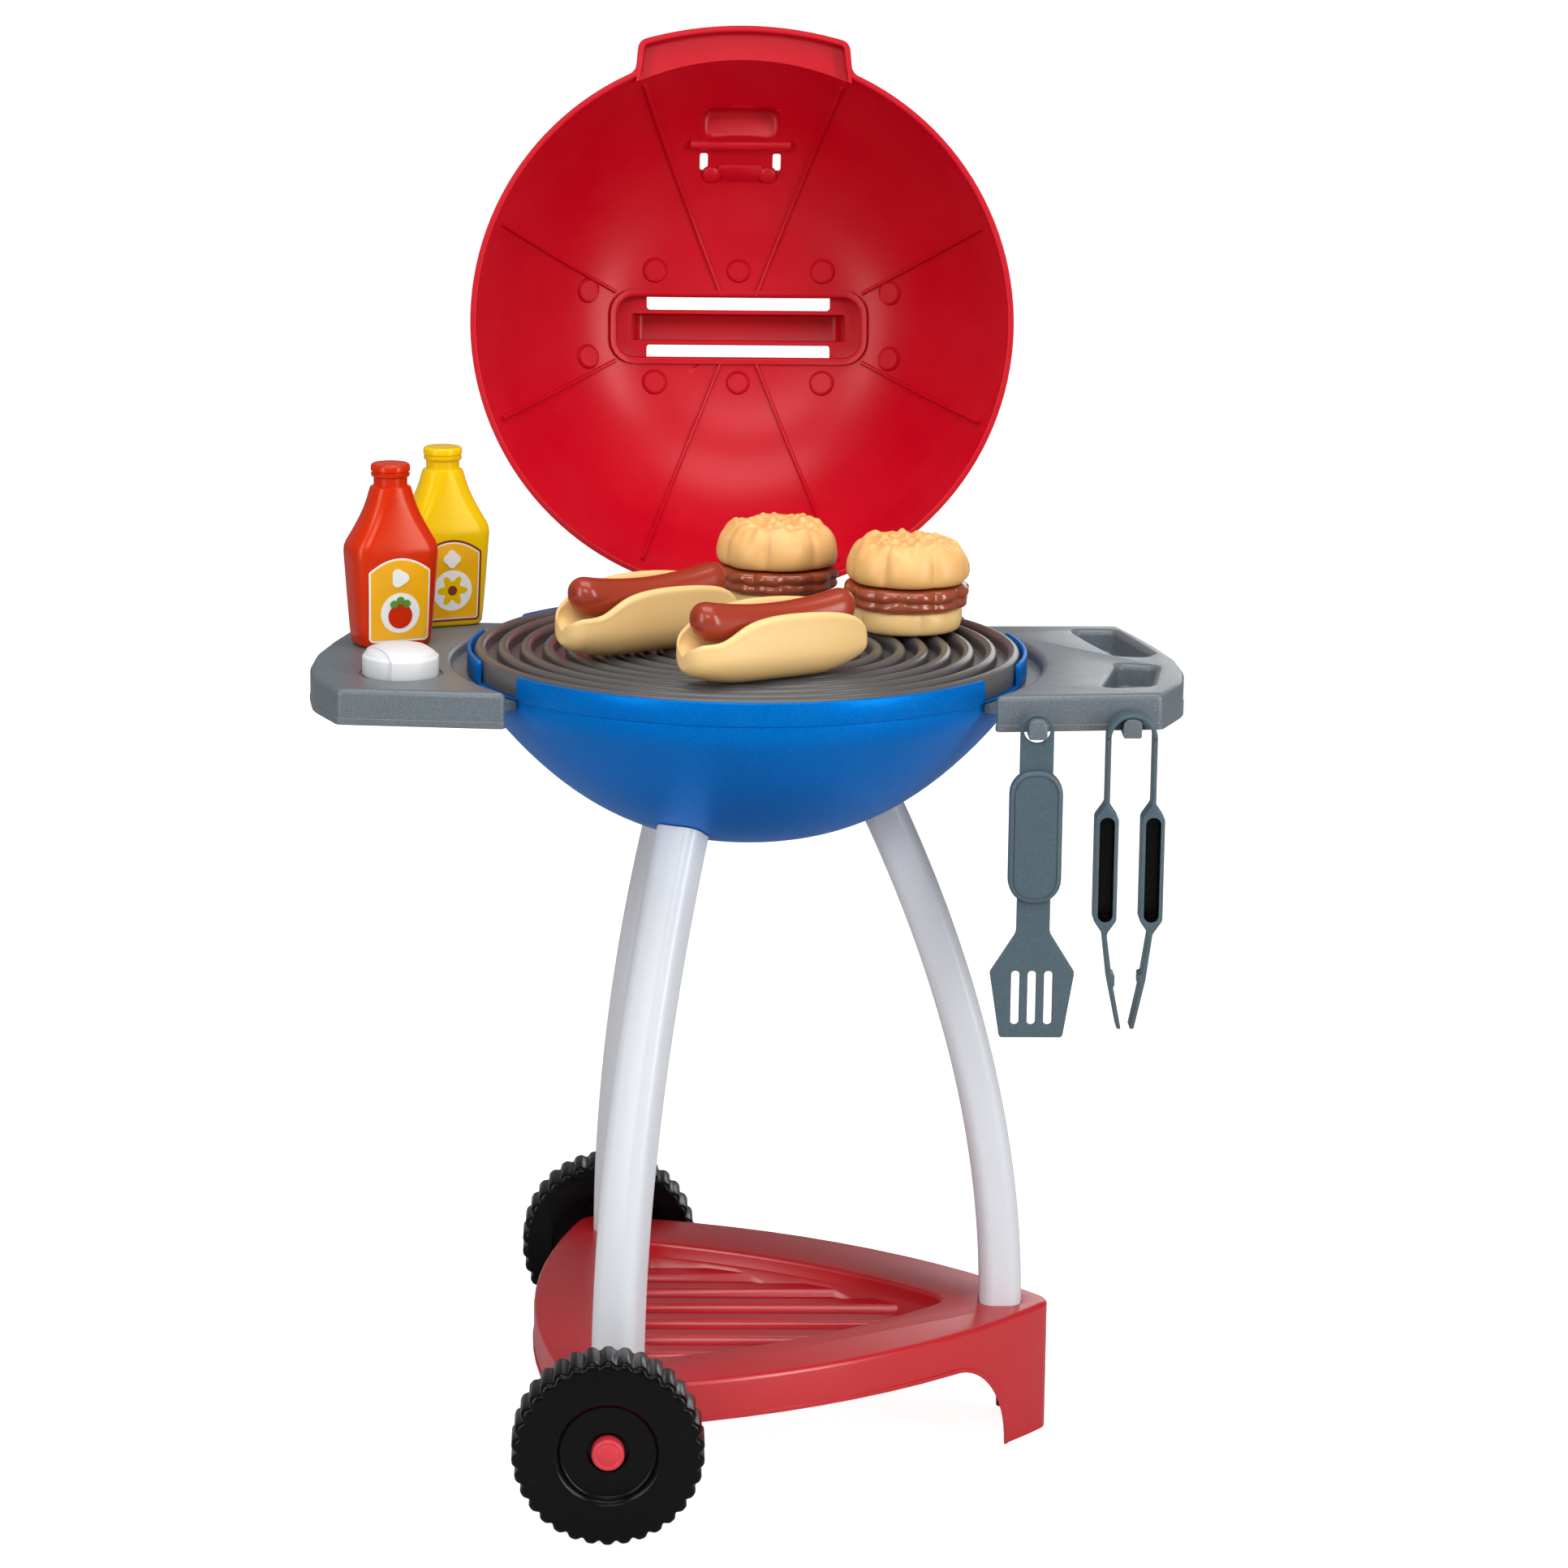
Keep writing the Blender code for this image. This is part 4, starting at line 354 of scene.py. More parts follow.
def plastic(name, colour, roughness, clouding, grain=0.5, grainScale=900, bump=0.06, spread=0.08, scuffs=0.1,
            metallic=0, specular=0.5, soft=0, softRadius=(1, 0.3, 0.2), fleck=(1, 1, 1), fleckAmount=0,
            fleckScale=1500, glossTint=(1, 1, 1)):
    material = bpy.data.materials.new(name)
    material.use_nodes = True
    tree = material.node_tree
    skin = node(tree, "ShaderNodeGroup", node_tree=mouldedSkin)
    fill(skin, {"Colour": (*colour, 1), "Clouding": clouding, "Grain Scale": grainScale, "Grain": grain,
                "Roughness": roughness, "Roughness Spread": spread, "Scuffs": scuffs, "Flecks": fleckAmount,
                "Fleck Colour": (*fleck, 1), "Fleck Scale": fleckScale})
    relief = node(tree, "ShaderNodeBump", {"Strength": bump, "Distance": 0.0004,
                                           "Height": skin.outputs["Height"]})
    fill(tree.nodes["Principled BSDF"], {
        "Base Color": skin.outputs["Colour"], "Roughness": skin.outputs["Roughness"],
        "Normal": relief.outputs["Normal"], "Metallic": metallic, "Specular IOR Level": specular,
        "Specular Tint": (*glossTint, 1), "Subsurface Weight": soft, "Subsurface Scale": 0.004,
        "Subsurface Radius": softRadius})
    return material


# Each finish has its colour, roughness and clouding, then what differs from the plain plastic
printed = dict(bump=0.01, scuffs=0.03)
finishSettings = {
    "lidRed": ((0.53, 0.003, 0.014), 0.33, 0.05,
               dict(grain=0.6, bump=0.04, specular=0.42, spread=0.04, glossTint=(1, 0.62, 0.6))),
    "baseRed": ((0.54, 0.003, 0.01), 0.3, 0.05,
                dict(grain=0.6, bump=0.03, specular=0.8, scuffs=0.01, spread=0.02)),
    "bowlBlue": ((0, 0.145, 0.55), 0.38, 0.05,
                 dict(grain=0.9, grainScale=1100, bump=0.08, fleck=(0.01, 0.36, 0.85), fleckAmount=0.25,
                      fleckScale=1800, specular=0.22, metallic=0.32, glossTint=(0.04, 0.55, 1))),
    "trayGrey": ((0.115, 0.14, 0.158), 0.34, 0.06,
                 dict(grain=0.9, grainScale=1300, bump=0.12, fleck=(0.5, 0.52, 0.54), fleckAmount=0.14,
                      fleckScale=1600)),
    "grateGrey": ((0.092, 0.09, 0.09), 0.31, 0.05,
                  dict(grainScale=1300, bump=0.03, fleck=(0.24, 0.24, 0.24), fleckAmount=0.03, scuffs=0.02,
                       spread=0.02)),
    # near-black painted shade for the deep hollows of the tongs' grips, standing in for the shadow inside them
    "gripDark": ((0.004, 0.004, 0.005), 0.4, 0.1, dict(specular=0.2)),
    "utensilGrey": ((0.06, 0.098, 0.122), 0.4, 0.08,
                    dict(grain=0.9, grainScale=1000, bump=0.1, fleck=(0.3, 0.36, 0.4), fleckAmount=0.1)),
    "legWhite": ((0.68, 0.7, 0.74), 0.3, 0.01, dict(bump=0.02, scuffs=0.01, spread=0.015)),
    "knobWhite": ((0.74, 0.75, 0.76), 0.36, 0.02, dict(bump=0.03, scuffs=0.05)),
    "wheelBlack": ((0.0008, 0.0007, 0.001), 0.24, 0.3,
                   dict(grain=0.8, grainScale=1400, bump=0.08, fleck=(0.008, 0.008, 0.009),
                        fleckAmount=0.12, scuffs=0.04, specular=0.18)),
    "steel": ((0.62, 0.62, 0.63), 0.28, 0.1, dict(metallic=1, bump=0.05)),
    "capRed": ((0.66, 0.035, 0.055), 0.34, 0.08, {}),
    "ketchupRed": ((0.62, 0.024, 0.001), 0.24, 0.05,
                   dict(grain=0.3, bump=0.02, scuffs=0.03, soft=0.06, specular=0.38,
                        glossTint=(1, 0.72, 0.55))),
    "mustardYellow": ((0.86, 0.54, 0.0002), 0.24, 0.03,
                      dict(grain=0.3, bump=0.02, scuffs=0, soft=0.06, softRadius=(1, 0.7, 0.1),
                           specular=0.38, glossTint=(1, 0.9, 0.3))),
    "labelWhite": ((0.86, 0.86, 0.84), 0.3, 0.02, printed),
    "labelGold": ((0.92, 0.44, 0.006), 0.3, 0.35, printed),
    "labelAmber": ((0.9, 0.46, 0.01), 0.3, 0.35, printed),
    "labelBrown": ((0.22, 0.035, 0.015), 0.3, 0.1, printed),
    "labelGreen": ((0.1, 0.26, 0.03), 0.3, 0.1, printed),
    "rollBun": ((0.9, 0.6, 0.25), 0.4, 0.07,
                dict(grainScale=500, bump=0.05, soft=0.15, softRadius=(1, 0.6, 0.25))),
    "burgerBun": ((0.88, 0.5, 0.18), 0.42, 0.09,
                  dict(grainScale=500, soft=0.15, softRadius=(1, 0.5, 0.2))),
    "sausageBrown": ((0.33, 0.036, 0.014), 0.24, 0.05, dict(grain=0.2, bump=0.015, scuffs=0.02, spread=0.03)),
    "pattyBrown": ((0.33, 0.066, 0.025), 0.21, 0.18, dict(bump=0.04, specular=0.8, scuffs=0.03)),
}
finishes = {name: plastic(name, *main, **more) for name, (*main, more) in finishSettings.items()}
print("finishes ready:", len(finishes))

# Lid, drawn closed and then opened about its hinge
lid = Settings(radius=184, height=127.5, wall=2.6, power=3.6, rimZ=526.8, open=radians(99.3), lipHalf=73.2,
               lipTopHalf=71.2, lipReach=16, lipBow=10.5, lipHeight=11, lipCorner=7.5, lipFillet=8,
               beadWidth=4.2, handleLength=178, handleTop=147, handleWidth=24, handleRise=24,
               slotLength=128, slotWidth=11, slotOut=17.5, recess=(173, 46, 14),
               plinth=(178.2, 51.2, 16.6), hingeX=50, knuckle=10, lug=5.8, pinHole=2.5, ventY=-138)
hinge = middleOf("left_hinge_pin")
hinge.x = 0
lidTurn = Matrix.Translation(hinge) @ Matrix.Rotation(-lid.open, 4, "X") @ Matrix.Translation(-hinge)
innerRadius = lid.radius - lid.wall


def lidOuter(radius):
    return lid.rimZ + lid.height * (1 - (radius / lid.radius) ** lid.power)


def lidInner(radius):
    return lid.rimZ + (lid.height - lid.wall) * (1 - min(1, radius / innerRadius) ** lid.power)


def lidInnerNormal(x, y):  # the way into the hollow at a point of the inner surface
    step = 0.5
    r = sqrt(x * x + y * y)
    slope = (lidInner(r + step) - lidInner(r - step)) / (2 * step)
    return Vector((slope * x / r, slope * y / r, -1)).normalized()


def onInside(x, y, rise=0):  # a point of the inner surface, raised into the hollow
    return Vector((x, y, lidInner(sqrt(x * x + y * y)))) + lidInnerNormal(x, y) * rise


def alongInside(spots, section, rise=0, closed=False):  # a section carried over the inner surface
    path = [onInside(x, y, rise) for x, y in spots]
    rings = []
    for i, (point, spot) in enumerate(zip(path, spots)):
        before = path[i - 1] if closed or i else point
        after = path[(i + 1) % len(path)] if closed or i < len(path) - 1 else point
        tangent = (after - before).normalized()
        up = lidInnerNormal(*spot)
        up = (up - tangent * up.dot(tangent)).normalized()
        side = tangent.cross(up)
        rings.append([point + side * a + up * b for a, b in section])
    return loft(rings, closed)


def quarterShares(steps):
    return [sin(pi / 2 * i / steps) for i in range(1, steps + 1)]


def pinTool(x, half):
    return rod(lid.pinHole, (x - half, hinge.y, hinge.z), (x + half, hinge.y, hinge.z))


def innerProfile(steps, sunk=0):
    reaches = [0] + [innerRadius * t for t in quarterShares(steps)]
    return [(r, lidInner(r) - sunk) for r in reaches]


def lidDome():
    outer = [((lid.radius - 0.3) * t, lidOuter(lid.radius * t)) for t in quarterShares(30)]
    return spin([(0, lidOuter(0))] + outer + innerProfile(30)[::-1], turnedSides)


def aboveInside(sunk):  # all space over the inner surface, less a ridge's height
    top = lidOuter(0) + 60
    return spin(innerProfile(24, sunk) + [(innerRadius, top), (0, top)], 120)


def lipShape(shrink, root):  # the lip seen from above, forward along -Y
    half, top = lid.lipHalf - shrink, lid.lipTopHalf - shrink
    corner = shrink - lid.radius - lid.lipReach + lid.lipBow
    spread = asin(half / root)
    edge = bowedLine((-top, corner), (top, corner), lid.lipBow, 14) + [(top, corner)]
    radius = max(2, lid.lipCorner - shrink)
    return softCorners(edge + arc(0, 0, root, root, spread - pi / 2, -spread - pi / 2, 14),
                       {0: radius, 14: radius})


def rimOutline():  # the whole rim with its lip and the hollow fillets beside it
    r, top = lid.radius, lid.lipTopHalf
    spread = asin(lid.lipHalf / r)
    around = arc(0, 0, r, r, spread - pi / 2, 1.5 * pi - spread, 120)
    corner = lid.lipBow - r - lid.lipReach
    outline = around + bowedLine((-top, corner), (top, corner), lid.lipBow, 16) + [(top, corner)]
    first = len(around)
    return softCorners(outline, {0: lid.lipFillet, first - 1: lid.lipFillet, first: lid.lipCorner,
                                 len(outline) - 1: lid.lipCorner}, 6)


def lidRib(x0, y0, x1, y1):
    steps = 14
    spots = [(x0 + (x1 - x0) * i / steps, y0 + (y1 - y0) * i / steps) for i in range(steps + 1)]
    return alongInside(spots, [(-1.6, -1), (-1.3, 1.5), (-0.6, 2.4), (0.6, 2.4), (1.3, 1.5), (1.6, -1)])


def lidBoss(x, y, radius=9):
    profile = [(0, 1.7), (radius - 2.3, 1.7), (radius - 2.1, 1.35), (radius - 1.9, 1.7), (radius - 1.5, 1.8),
               (radius - 0.2, 0.6), (radius, -2), (0, -2)]
    return aimed(spin(profile, 48), onInside(x, y), lidInnerNormal(x, y))


def handleBar(trim, low, drop):  # the bar's side outline carried across its width with round edges
    half, top = lid.handleLength / 2 - trim, lid.handleTop / 2 - trim
    high = lidOuter(0) + lid.handleRise - drop
    outline = softCorners([(-half, low), (half, low), (top, high), (-top, high)],
                          {2: 9 - trim, 3: 9 - trim}, 6)
    return softPlate(outline, lid.handleWidth / 2 - trim, 4 - trim, 4)


def lidVent(mesh):  # a dormer hood over a niche, with two holes behind
    along, top = lid.ventY, lidOuter(0)
    low = lidOuter(151) - 2.6
    high = lidOuter(138) + 6
    hood = common(stack(roundedRect(59, 27, 9, centre=(0, along)),
                        [(0, low), (0, high - 4)] + roundTop(4, high)), aboveInside(0.2))
    niche = stack(roundedRect(54.6, 22.6, 8.5, centre=(0, along)),
                  [(0, low - overrun), (0, high - 8)] + roundTop(5.2, high - 2.6))
    shallow = cut(prism(roundedRect(57, 25, 9, centre=(0, along + 25.5)), low - 30, top),
                  aboveInside(-1.2))
    holes = [prism(roundedRect(5.5, 11, 1.4, centre=(x, along + 24)), low - overrun, top)
             for x in (-25.25, 25.25)]
    return cut(add(mesh, hood), niche, shallow, *holes)


def ventDetails():  # the bar under the niche, two bumps and a tab between them
    steps = 12
    parts = [alongInside([(-35.5 + 71 * i / steps, -125.6) for i in range(steps + 1)],
                         arc(0, 0, 3.8, 3.4, 0, 2 * pi, 20)[:-1], 1)]
    for x in (-20, 19):
        dome = spin([(0, 2.6)] + arc(0, 0, 6.5, 2.6, pi / 2, 0, 6)[1:] + [(6.5, -2), (0, -2)], 32)
        parts.append(aimed(dome, onInside(x, -105), lidInnerNormal(x, -105)))
    tab = stack(softCorners([(-13, -6), (13, -6), (17, 6), (-17, 6)], allCorners(3)),
                [(0, -1.6), (0, 0.7), (-0.5, 1.2)])
    slope = atan2(lidInner(112) - lidInner(100), 12)
    return parts + [moved(moved(tab, turn=pi, axis="X"), onInside(0, -107), -slope, "X")]


def knuckleOutline():
    rimY = sqrt(lid.radius ** 2 - (lid.hingeX + lid.knuckle / 2) ** 2) - lid.wall / 2
    top = lid.rimZ + lid.lug
    return ([(rimY, top), (rimY, lid.rimZ)]
            + arc(hinge.y, hinge.z, lid.lug, lid.lug, pi, pi + radians(225), 12)
            + [(hinge.y + lid.lug, top)])


def makeLid():
    rim, top = lid.rimZ, lidOuter(0)
    lip = stack(lipShape(0.3, lid.radius - 6.6), [(0, rim), (0, rim + lid.lipHeight - 3)]
                + roundTop(3, rim + lid.lipHeight))
    hollow = prism(lipShape(2.6, 174), rim - overrun, rim + lid.lipHeight - 2.6)
    mesh = cut(add(lidDome(), lip), hollow)
    plinth = stack(roundedRect(*lid.plinth), [(0, top - 40), (0, top - 0.4)] + roundTop(1.9, top + 1.5))
    low = top - 8
    mesh = add(mesh, common(plinth, aboveInside(2.8)), handleBar(0, low, 0))
    recess = stack(roundedRect(*lid.recess), [(0, top - 60), (0, top - 3)] + roundTop(1.9, top - 1.1))
    slots = [prism(roundedRect(lid.slotLength, lid.slotWidth, 2.6, centre=(0, side * lid.slotOut)),
                   top - 60, top + 20) for side in (-1, 1)]
    mesh = lidVent(cut(mesh, recess, handleBar(2.6, low - 60, 2.6), *slots))
    for side in (-1, 1):
        x, half = side * lid.hingeX, lid.knuckle / 2
        mesh = cut(add(mesh, across(knuckleOutline(), x - half, x + half)), pinTool(x, 12))
    mesh.transform(lidTurn)
    return mesh


def lidMouldings():  # the rim's bead, the ribs and bosses of the hollow, and the bar under the niche
    w = lid.beadWidth
    section = [(0, 1.3), (-0.12, 0.7), (-0.45, 0.25), (-1, 0), (-1.6, 0.12), (-1.85, 0.55), (-2.1, 0.12),
               (-w + 1, 0), (-w + 0.4, 0.3), (-w, 1), (-w - 0.2, 2.2), (-w + 1.2, 3.2), (-1.6, 4.6),
               (-0.6, 4.5), (-0.15, 4.1), (0, 3.4)]
    details = [stack(rimOutline(), [(growth, lid.rimZ + rise) for growth, rise in section], closed=True)]
    for side in (-1, 1):
        for way, inner in ((-1, 22), (1, 24)):
            details += [lidRib(side * 67, way * 161, side * 12, way * inner),
                        lidRib(side * 163, way * 66, side * 86, way * 24)]
        for x, y in ((58.5, -39.5), (105, -24.5), (105, 21.5), (58.5, 38.5)):
            details.append(lidBoss(side * x, y))
    details += [lidBoss(0, -39.5, 8.5), lidBoss(0, 38.5, 8.5)]
    length, width, corner = lid.recess
    path = finer(roundedRect(length - 0.5, width - 1.5, corner - 0.5, 6), 6)
    border = [(-2.4, -1.6), (-2, 0.8), (-1.2, 1.7), (-0.2, 1.9), (0.8, 1.4), (1.5, 0.2), (1.6, -1.6)]
    mesh = beside(*details, alongInside(path, border, closed=True), *ventDetails())
    mesh.transform(lidTurn)
    return mesh


piece("lidShell", makeLid(), "lidRed", "lid_body", ["lid"], edge=0.5)
piece("lidTrim", lidMouldings(), "lidRed", "lid_body", angle=45)
print("lid made")

# Bowl with its notched rim
bowl = Settings(radius=180, rimZ=526, bandZ=511, step=1.6, topZ=504, bottomZ=403.5, power=2.45, wall=2.6,
                ledge=173.5, notch=(radians(17), radians(35.4)), flare=3.2, lugWidth=4.5, lug=5.8,
                rimRound=1.1)
bowlShares = [i / 26 for i in range(1, 27)]


def bowlDome(gap=0):  # the outside of the bowl below its band
    dome = bowl.radius - bowl.step
    return [(0, bowl.bottomZ - gap)] + [
        (dome * t, bowl.bottomZ + (bowl.topZ - bowl.bottomZ) * t ** bowl.power - gap) for t in bowlShares]


def notchTool(middle, start, end):  # an opening with flared top corners, carried out through the band
    width, low, flare = (end - start) * bowl.radius, bowl.bandZ + 0.3, bowl.flare
    top = bowl.rimZ + overrun
    side = [(0, low)] + roundTop(flare, bowl.rimZ, 5) + [(-flare, top)]
    floor = [(width * i / 10, low) for i in range(1, 10)]
    roof = [(width + flare - (width + 2 * flare) * i / 10, top) for i in range(1, 10)]
    outline = side[::-1] + floor + [(width - x, z) for x, z in side] + roof
    angles = [middle + start + x / bowl.radius for x, z in outline]
    return loft([[(r * cos(a), r * sin(a), z) for a, (x, z) in zip(angles, outline)]
                 for r in (bowl.ledge, 190)])


def makeBowl():
    s = bowl
    band = [(s.radius - s.step, s.bandZ - 0.5), (s.radius - 0.4, s.bandZ), (s.radius, s.bandZ + 0.5)]
    rim = [(s.radius + growth, z) for growth, z in roundTop(s.rimRound, s.rimZ, 3)]
    inside = s.radius - s.wall
    inner = [(inside + 0.5, s.rimZ), (inside, s.rimZ - 0.6), (inside, s.bandZ), (s.ledge, s.bandZ)]
    bottom = s.bottomZ + s.wall
    inner += [(s.ledge * t, bottom + (s.topZ - bottom) * t ** s.power) for t in reversed(bowlShares)]
    mesh = spin(bowlDome() + band + rim + inner + [(0, bottom)], turnedSides)
    start, end = s.notch
    for middle in (0, pi):
        mesh = cut(mesh, notchTool(middle, start, end), notchTool(middle, -end, -start))
    for side in (-1, 1):
        middle = side * lid.hingeX
        for way in (-1, 1):
            x = middle + way * ((lid.knuckle + s.lugWidth) / 2 + 0.6)
            root = sqrt((s.radius - 1.3) ** 2 - x * x)
            outline = ([(root, hinge.z - s.lug)] + arc(hinge.y, hinge.z, s.lug, s.lug, -pi / 2, pi / 2, 12)
                       + [(root, hinge.z + s.lug)])
            mesh = add(mesh, across(outline, x - s.lugWidth / 2, x + s.lugWidth / 2))
        mesh = cut(mesh, pinTool(middle, 14))
    return mesh


piece("bowlShell", makeBowl(), "bowlBlue", "grill", ["bowl"], edge=0.35, angle=45)

# Cooking grate of round rings
grate = Settings(rings=12, share=0.58, groove=8, floor=2.6, radius=175.7, crest=527, bottom=511.3)


def makeGrate():
    s = grate
    pitch = s.radius / s.rings
    half = pitch * s.share / 2
    low, foot = s.crest - s.groove, s.crest - 4.2
    profile = [(0, low)]
    for ring in range(s.rings):
        centre = pitch * (ring + 1) - half
        profile += [(centre - half + 0.2, low), (centre - half + 0.35, foot)]
        profile += arc(centre, s.crest - 3.6, half - 0.4, 3.6, pi, 0, 10)
        if ring < s.rings - 1:
            profile += [(centre + half - 0.35, foot), (centre + half - 0.2, low)]
    inner = s.radius - 2 * s.floor
    profile += [(s.radius, foot), (s.radius, s.bottom), (inner, s.bottom), (inner, low - s.floor),
                (0, low - s.floor)]
    return spin(profile, turnedSides)


piece("grateRings", makeGrate(), "grateGrey", "grate_body", ["grate"], angle=50)
print("bowl and grate made")

# Side trays, with outlines in shares of a tray's reach and half depth
tray = Settings(top=518, thick=23, inner=189.5, width=90, half=117, wall=2.8, edge=4, corner=6, tip=3.4,
                bandHeight=4, bandProud=0.35, flange=(178.7, 504.7, 510.3), pocketDeep=17, flare=4.2)
trayEdge = ((0.77, -0.9), (0.957, -0.56), (1, -0.25), (0.975, 0.08), (0.888, 0.42), (0.783, 0.74),
            (0.674, 1.03))
frontPocket = ((0.332, -0.752), (0.717, -0.684), (0.829, -0.128), (0.528, -0.051))
rearPocket = ((0.55, 0.14), (0.767, 0.11), (0.839, 0.22), (0.634, 0.89), (0.286, 0.9), (0.394, 0.55))
hookSizes = Settings(width=11.5, height=12.5, length=18, top=506, corner=4.2)


def trayPoint(outward, back):
    return tray.inner + tray.width * outward, tray.half * back


def trayOutline(growth):
    spread = asin(tray.half / tray.inner)
    last = len(trayEdge) - 1
    outline = outset([trayPoint(x, y) for x, y in trayEdge]
                     + arc(0, 0, tray.inner, tray.inner, spread, -spread, 20), growth)
    outer, tip = max(0.8, tray.corner + growth), max(0.5, tray.tip + growth)
    radii = {i: 60 for i in range(1, last)}
    radii.update({0: outer, last: outer, last + 1: tip, len(outline) - 1: tip})
    return softCorners(outline, radii, 4)


def trayBody(side):
    s = tray
    bottom, band = s.top - s.thick, s.bandProud
    levels = [(-s.wall, s.top - s.wall), (-s.wall, bottom), (-0.5, bottom), (0, bottom + 0.5),
              (0, bottom + s.bandHeight), (-band, bottom + s.bandHeight + 0.4)]
    levels += [(growth - band, z) for growth, z in roundTop(s.edge, s.top, 5)]
    mesh = loft([[(side * x, y, z) for x, y in trayOutline(growth)] for growth, z in levels])
    start, low, high = s.flange
    end, middle, spread = s.inner + s.wall / 2, 0 if side > 0 else pi, radians(35)
    ring = (arc(0, 0, start, start, middle - spread, middle + spread, 24)
            + arc(0, 0, end, end, middle + spread, middle - spread, 24))
    return add(mesh, prism(ring, low, high))


def pocket(shares, radii):
    s = tray
    outline = softCorners([trayPoint(x, y) for x, y in shares], radii, 6)
    floor = s.top - s.pocketDeep
    cup = stack(outline, [(1.2, floor - s.wall), (1.2, s.top - 1)])
    slope = 1.4  # how far the walls lean in
    space = stack(outline, [(-3.4, floor), (-2.2, floor + 1.2), (-slope, floor + 3.5)]
                  + arc(s.flare - slope, s.top - s.flare, -s.flare, s.flare, 0, pi / 2, 6)
                  + [(s.flare - slope, s.top + overrun)])
    return cup, space


def trayFrontY(x):
    nearX = sqrt(tray.inner ** 2 - tray.half ** 2)
    farX, farY = trayPoint(*trayEdge[0])
    return -tray.half + (farY + tray.half) * (x - nearX) / (farX - nearX)


def hook(x):
    s = hookSizes
    half = s.width / 2
    corners = [(x - half, s.top - s.height), (x + half, s.top - s.height), (x + half, s.top),
               (x - half, s.top)]
    end = trayFrontY(x) - s.length
    return standing(softCorners(corners, {0: 1.2, 1: 1.2, 2: s.corner, 3: s.corner}, 4),
                    [(-0.9, end), (-0.25, end + 0.3), (0, end + 0.9), (0, trayFrontY(x) + 1.4)])


def makeRightTray():
    mesh = trayBody(1)
    rearRadii = {**dict.fromkeys(range(5), 7), 5: 14}
    for shares, radii in ((frontPocket, allCorners(8)), (rearPocket, rearRadii)):
        cup, space = pocket(shares, radii)
        mesh = cut(add(mesh, cup), space)
    return add(mesh, hook(middleOf("spatula").x), hook(middleOf("tongs_bow").x))


def makeLeftTray(x, y):
    hole = rod(7.8, (x, y, tray.top - 30), (x, y, tray.top + overrun), 48)
    well = spin([(0, -1.4), (26.5, -1.4), (26.5, -0.5), (27.1, 0.1), (27.1, 4), (0, 4)], 72)
    return cut(trayBody(-1), hole, moved(well, (x, y, tray.top)))


knobPlace = middleOf("knob")
piece("rightTray", makeRightTray(), "trayGrey", "grill", ["right_tray"], edge=0.5, angle=38)
piece("leftTray", makeLeftTray(*knobPlace.xy), "trayGrey", "grill", ["left_tray"], edge=0.5, angle=38)

# Knob with a proud grip bar
knob = Settings(radius=25.7, side=12.5, dome=6.5, step=1.4, grip=32, turn=radians(28), seat=-1.1, edge=2.2)


def knobCrown(shrink):
    s = knob
    radius, rise, shoulder = s.radius - shrink, s.dome - shrink, s.side - s.edge
    inner = radius - s.edge
    return spin([(0, s.seat), (radius - 0.5, s.seat), (radius, s.seat + 0.8), (radius, shoulder)]
                + arc(inner, shoulder, s.edge, 0.9 * s.edge, 0, pi / 2, 5)[1:-1]
                + arc(0, s.side, inner, rise, 0, pi / 2, 8)[:-1] + [(0, s.side + rise)], 96)


def makeKnob():
    bar = common(knobCrown(0), prism(roundedRect(knob.grip, 70, 2.5), knob.seat - 2, 30))
    mesh = add(knobCrown(knob.step), bar, rod(7, (0, 0, -6.4), (0, 0, 2), 40))
    return moved(mesh, (knobPlace.x, knobPlace.y, tray.top), knob.turn)


piece("knobGrip", makeKnob(), "knobWhite", "knob_body", ["knob"], edge=0.7, segments=3, angle=34)
print("trays and knob made")

# Legs
leg = Settings(foot=171.8, lean=75.2, power=1.9, radial=27.5, across=31, corner=9, rise=316.5, baseZ=87,
               socket=16.7, top=458, angle=118, gap=0.5)
legAngles = {"right": 0, "rear": radians(leg.angle), "front": -radians(leg.angle)}


def legRadius(height):
    return leg.foot - leg.lean * max(0, (height - leg.baseZ) / leg.rise) ** leg.power


def legSection():  # a soft box with slightly crowned faces, so that its ridges catch the light
    points = roundedRect(leg.radial, leg.across, leg.corner, 7)
    return [(x * (1 - 0.018 * (y / 15.5) ** 2), y * (1 - 0.018 * (x / 13.7) ** 2)) for x, y in points]


def makeLeg(angle):
    foot = leg.baseZ - leg.socket
    steps = 36
    rings = []
    for i in range(steps + 1):
        z = foot + (leg.top - foot) * i / steps
        lean = atan2(legRadius(z + 2) - legRadius(z - 2), 4)
        rings.append([(legRadius(z) + x * cos(lean), y, z - x * sin(lean)) for x, y in legSection()])
    under = bowlDome(leg.gap)
    return moved(cut(loft(rings), spin(under + [(under[-1][0], 560), (0, 560)], turnedSides)), turn=angle)


for name, angle in legAngles.items():
    piece(name + "LegPost", makeLeg(angle), "legWhite", "grill", [name + "_leg"], edge=0.6, angle=50)
print("legs made")

# Base shelf with its foot
base = Settings(top=87, skirtZ=60, wall=3, edge=3.2, apex=207.5, left=-104, half=186, sideBulge=37,
                leftBulge=32, corner=16, floor=69, recessApex=138, recessLeft=-70, recessHalf=126,
                recessBulge=17, recessCorner=15, ribPitch=33, ribWidth=17, ribHeight=5, archStart=140,
                archReach=34, flange=0.7, flangeHeight=2.6, boss=13, bore=4.3, wheelX=-86.6, axleZ=60.3)


def bulgedTriangle(apex, left, half, side, back, corner, steps):
    outline = (bowedLine((apex, 0), (left, half), side, steps)
               + bowedLine((left, half), (left, -half), back, steps)
               + bowedLine((left, -half), (apex, 0), side, steps))
    return softCorners(outline, {0: corner, steps: corner, 2 * steps: corner}, 8)


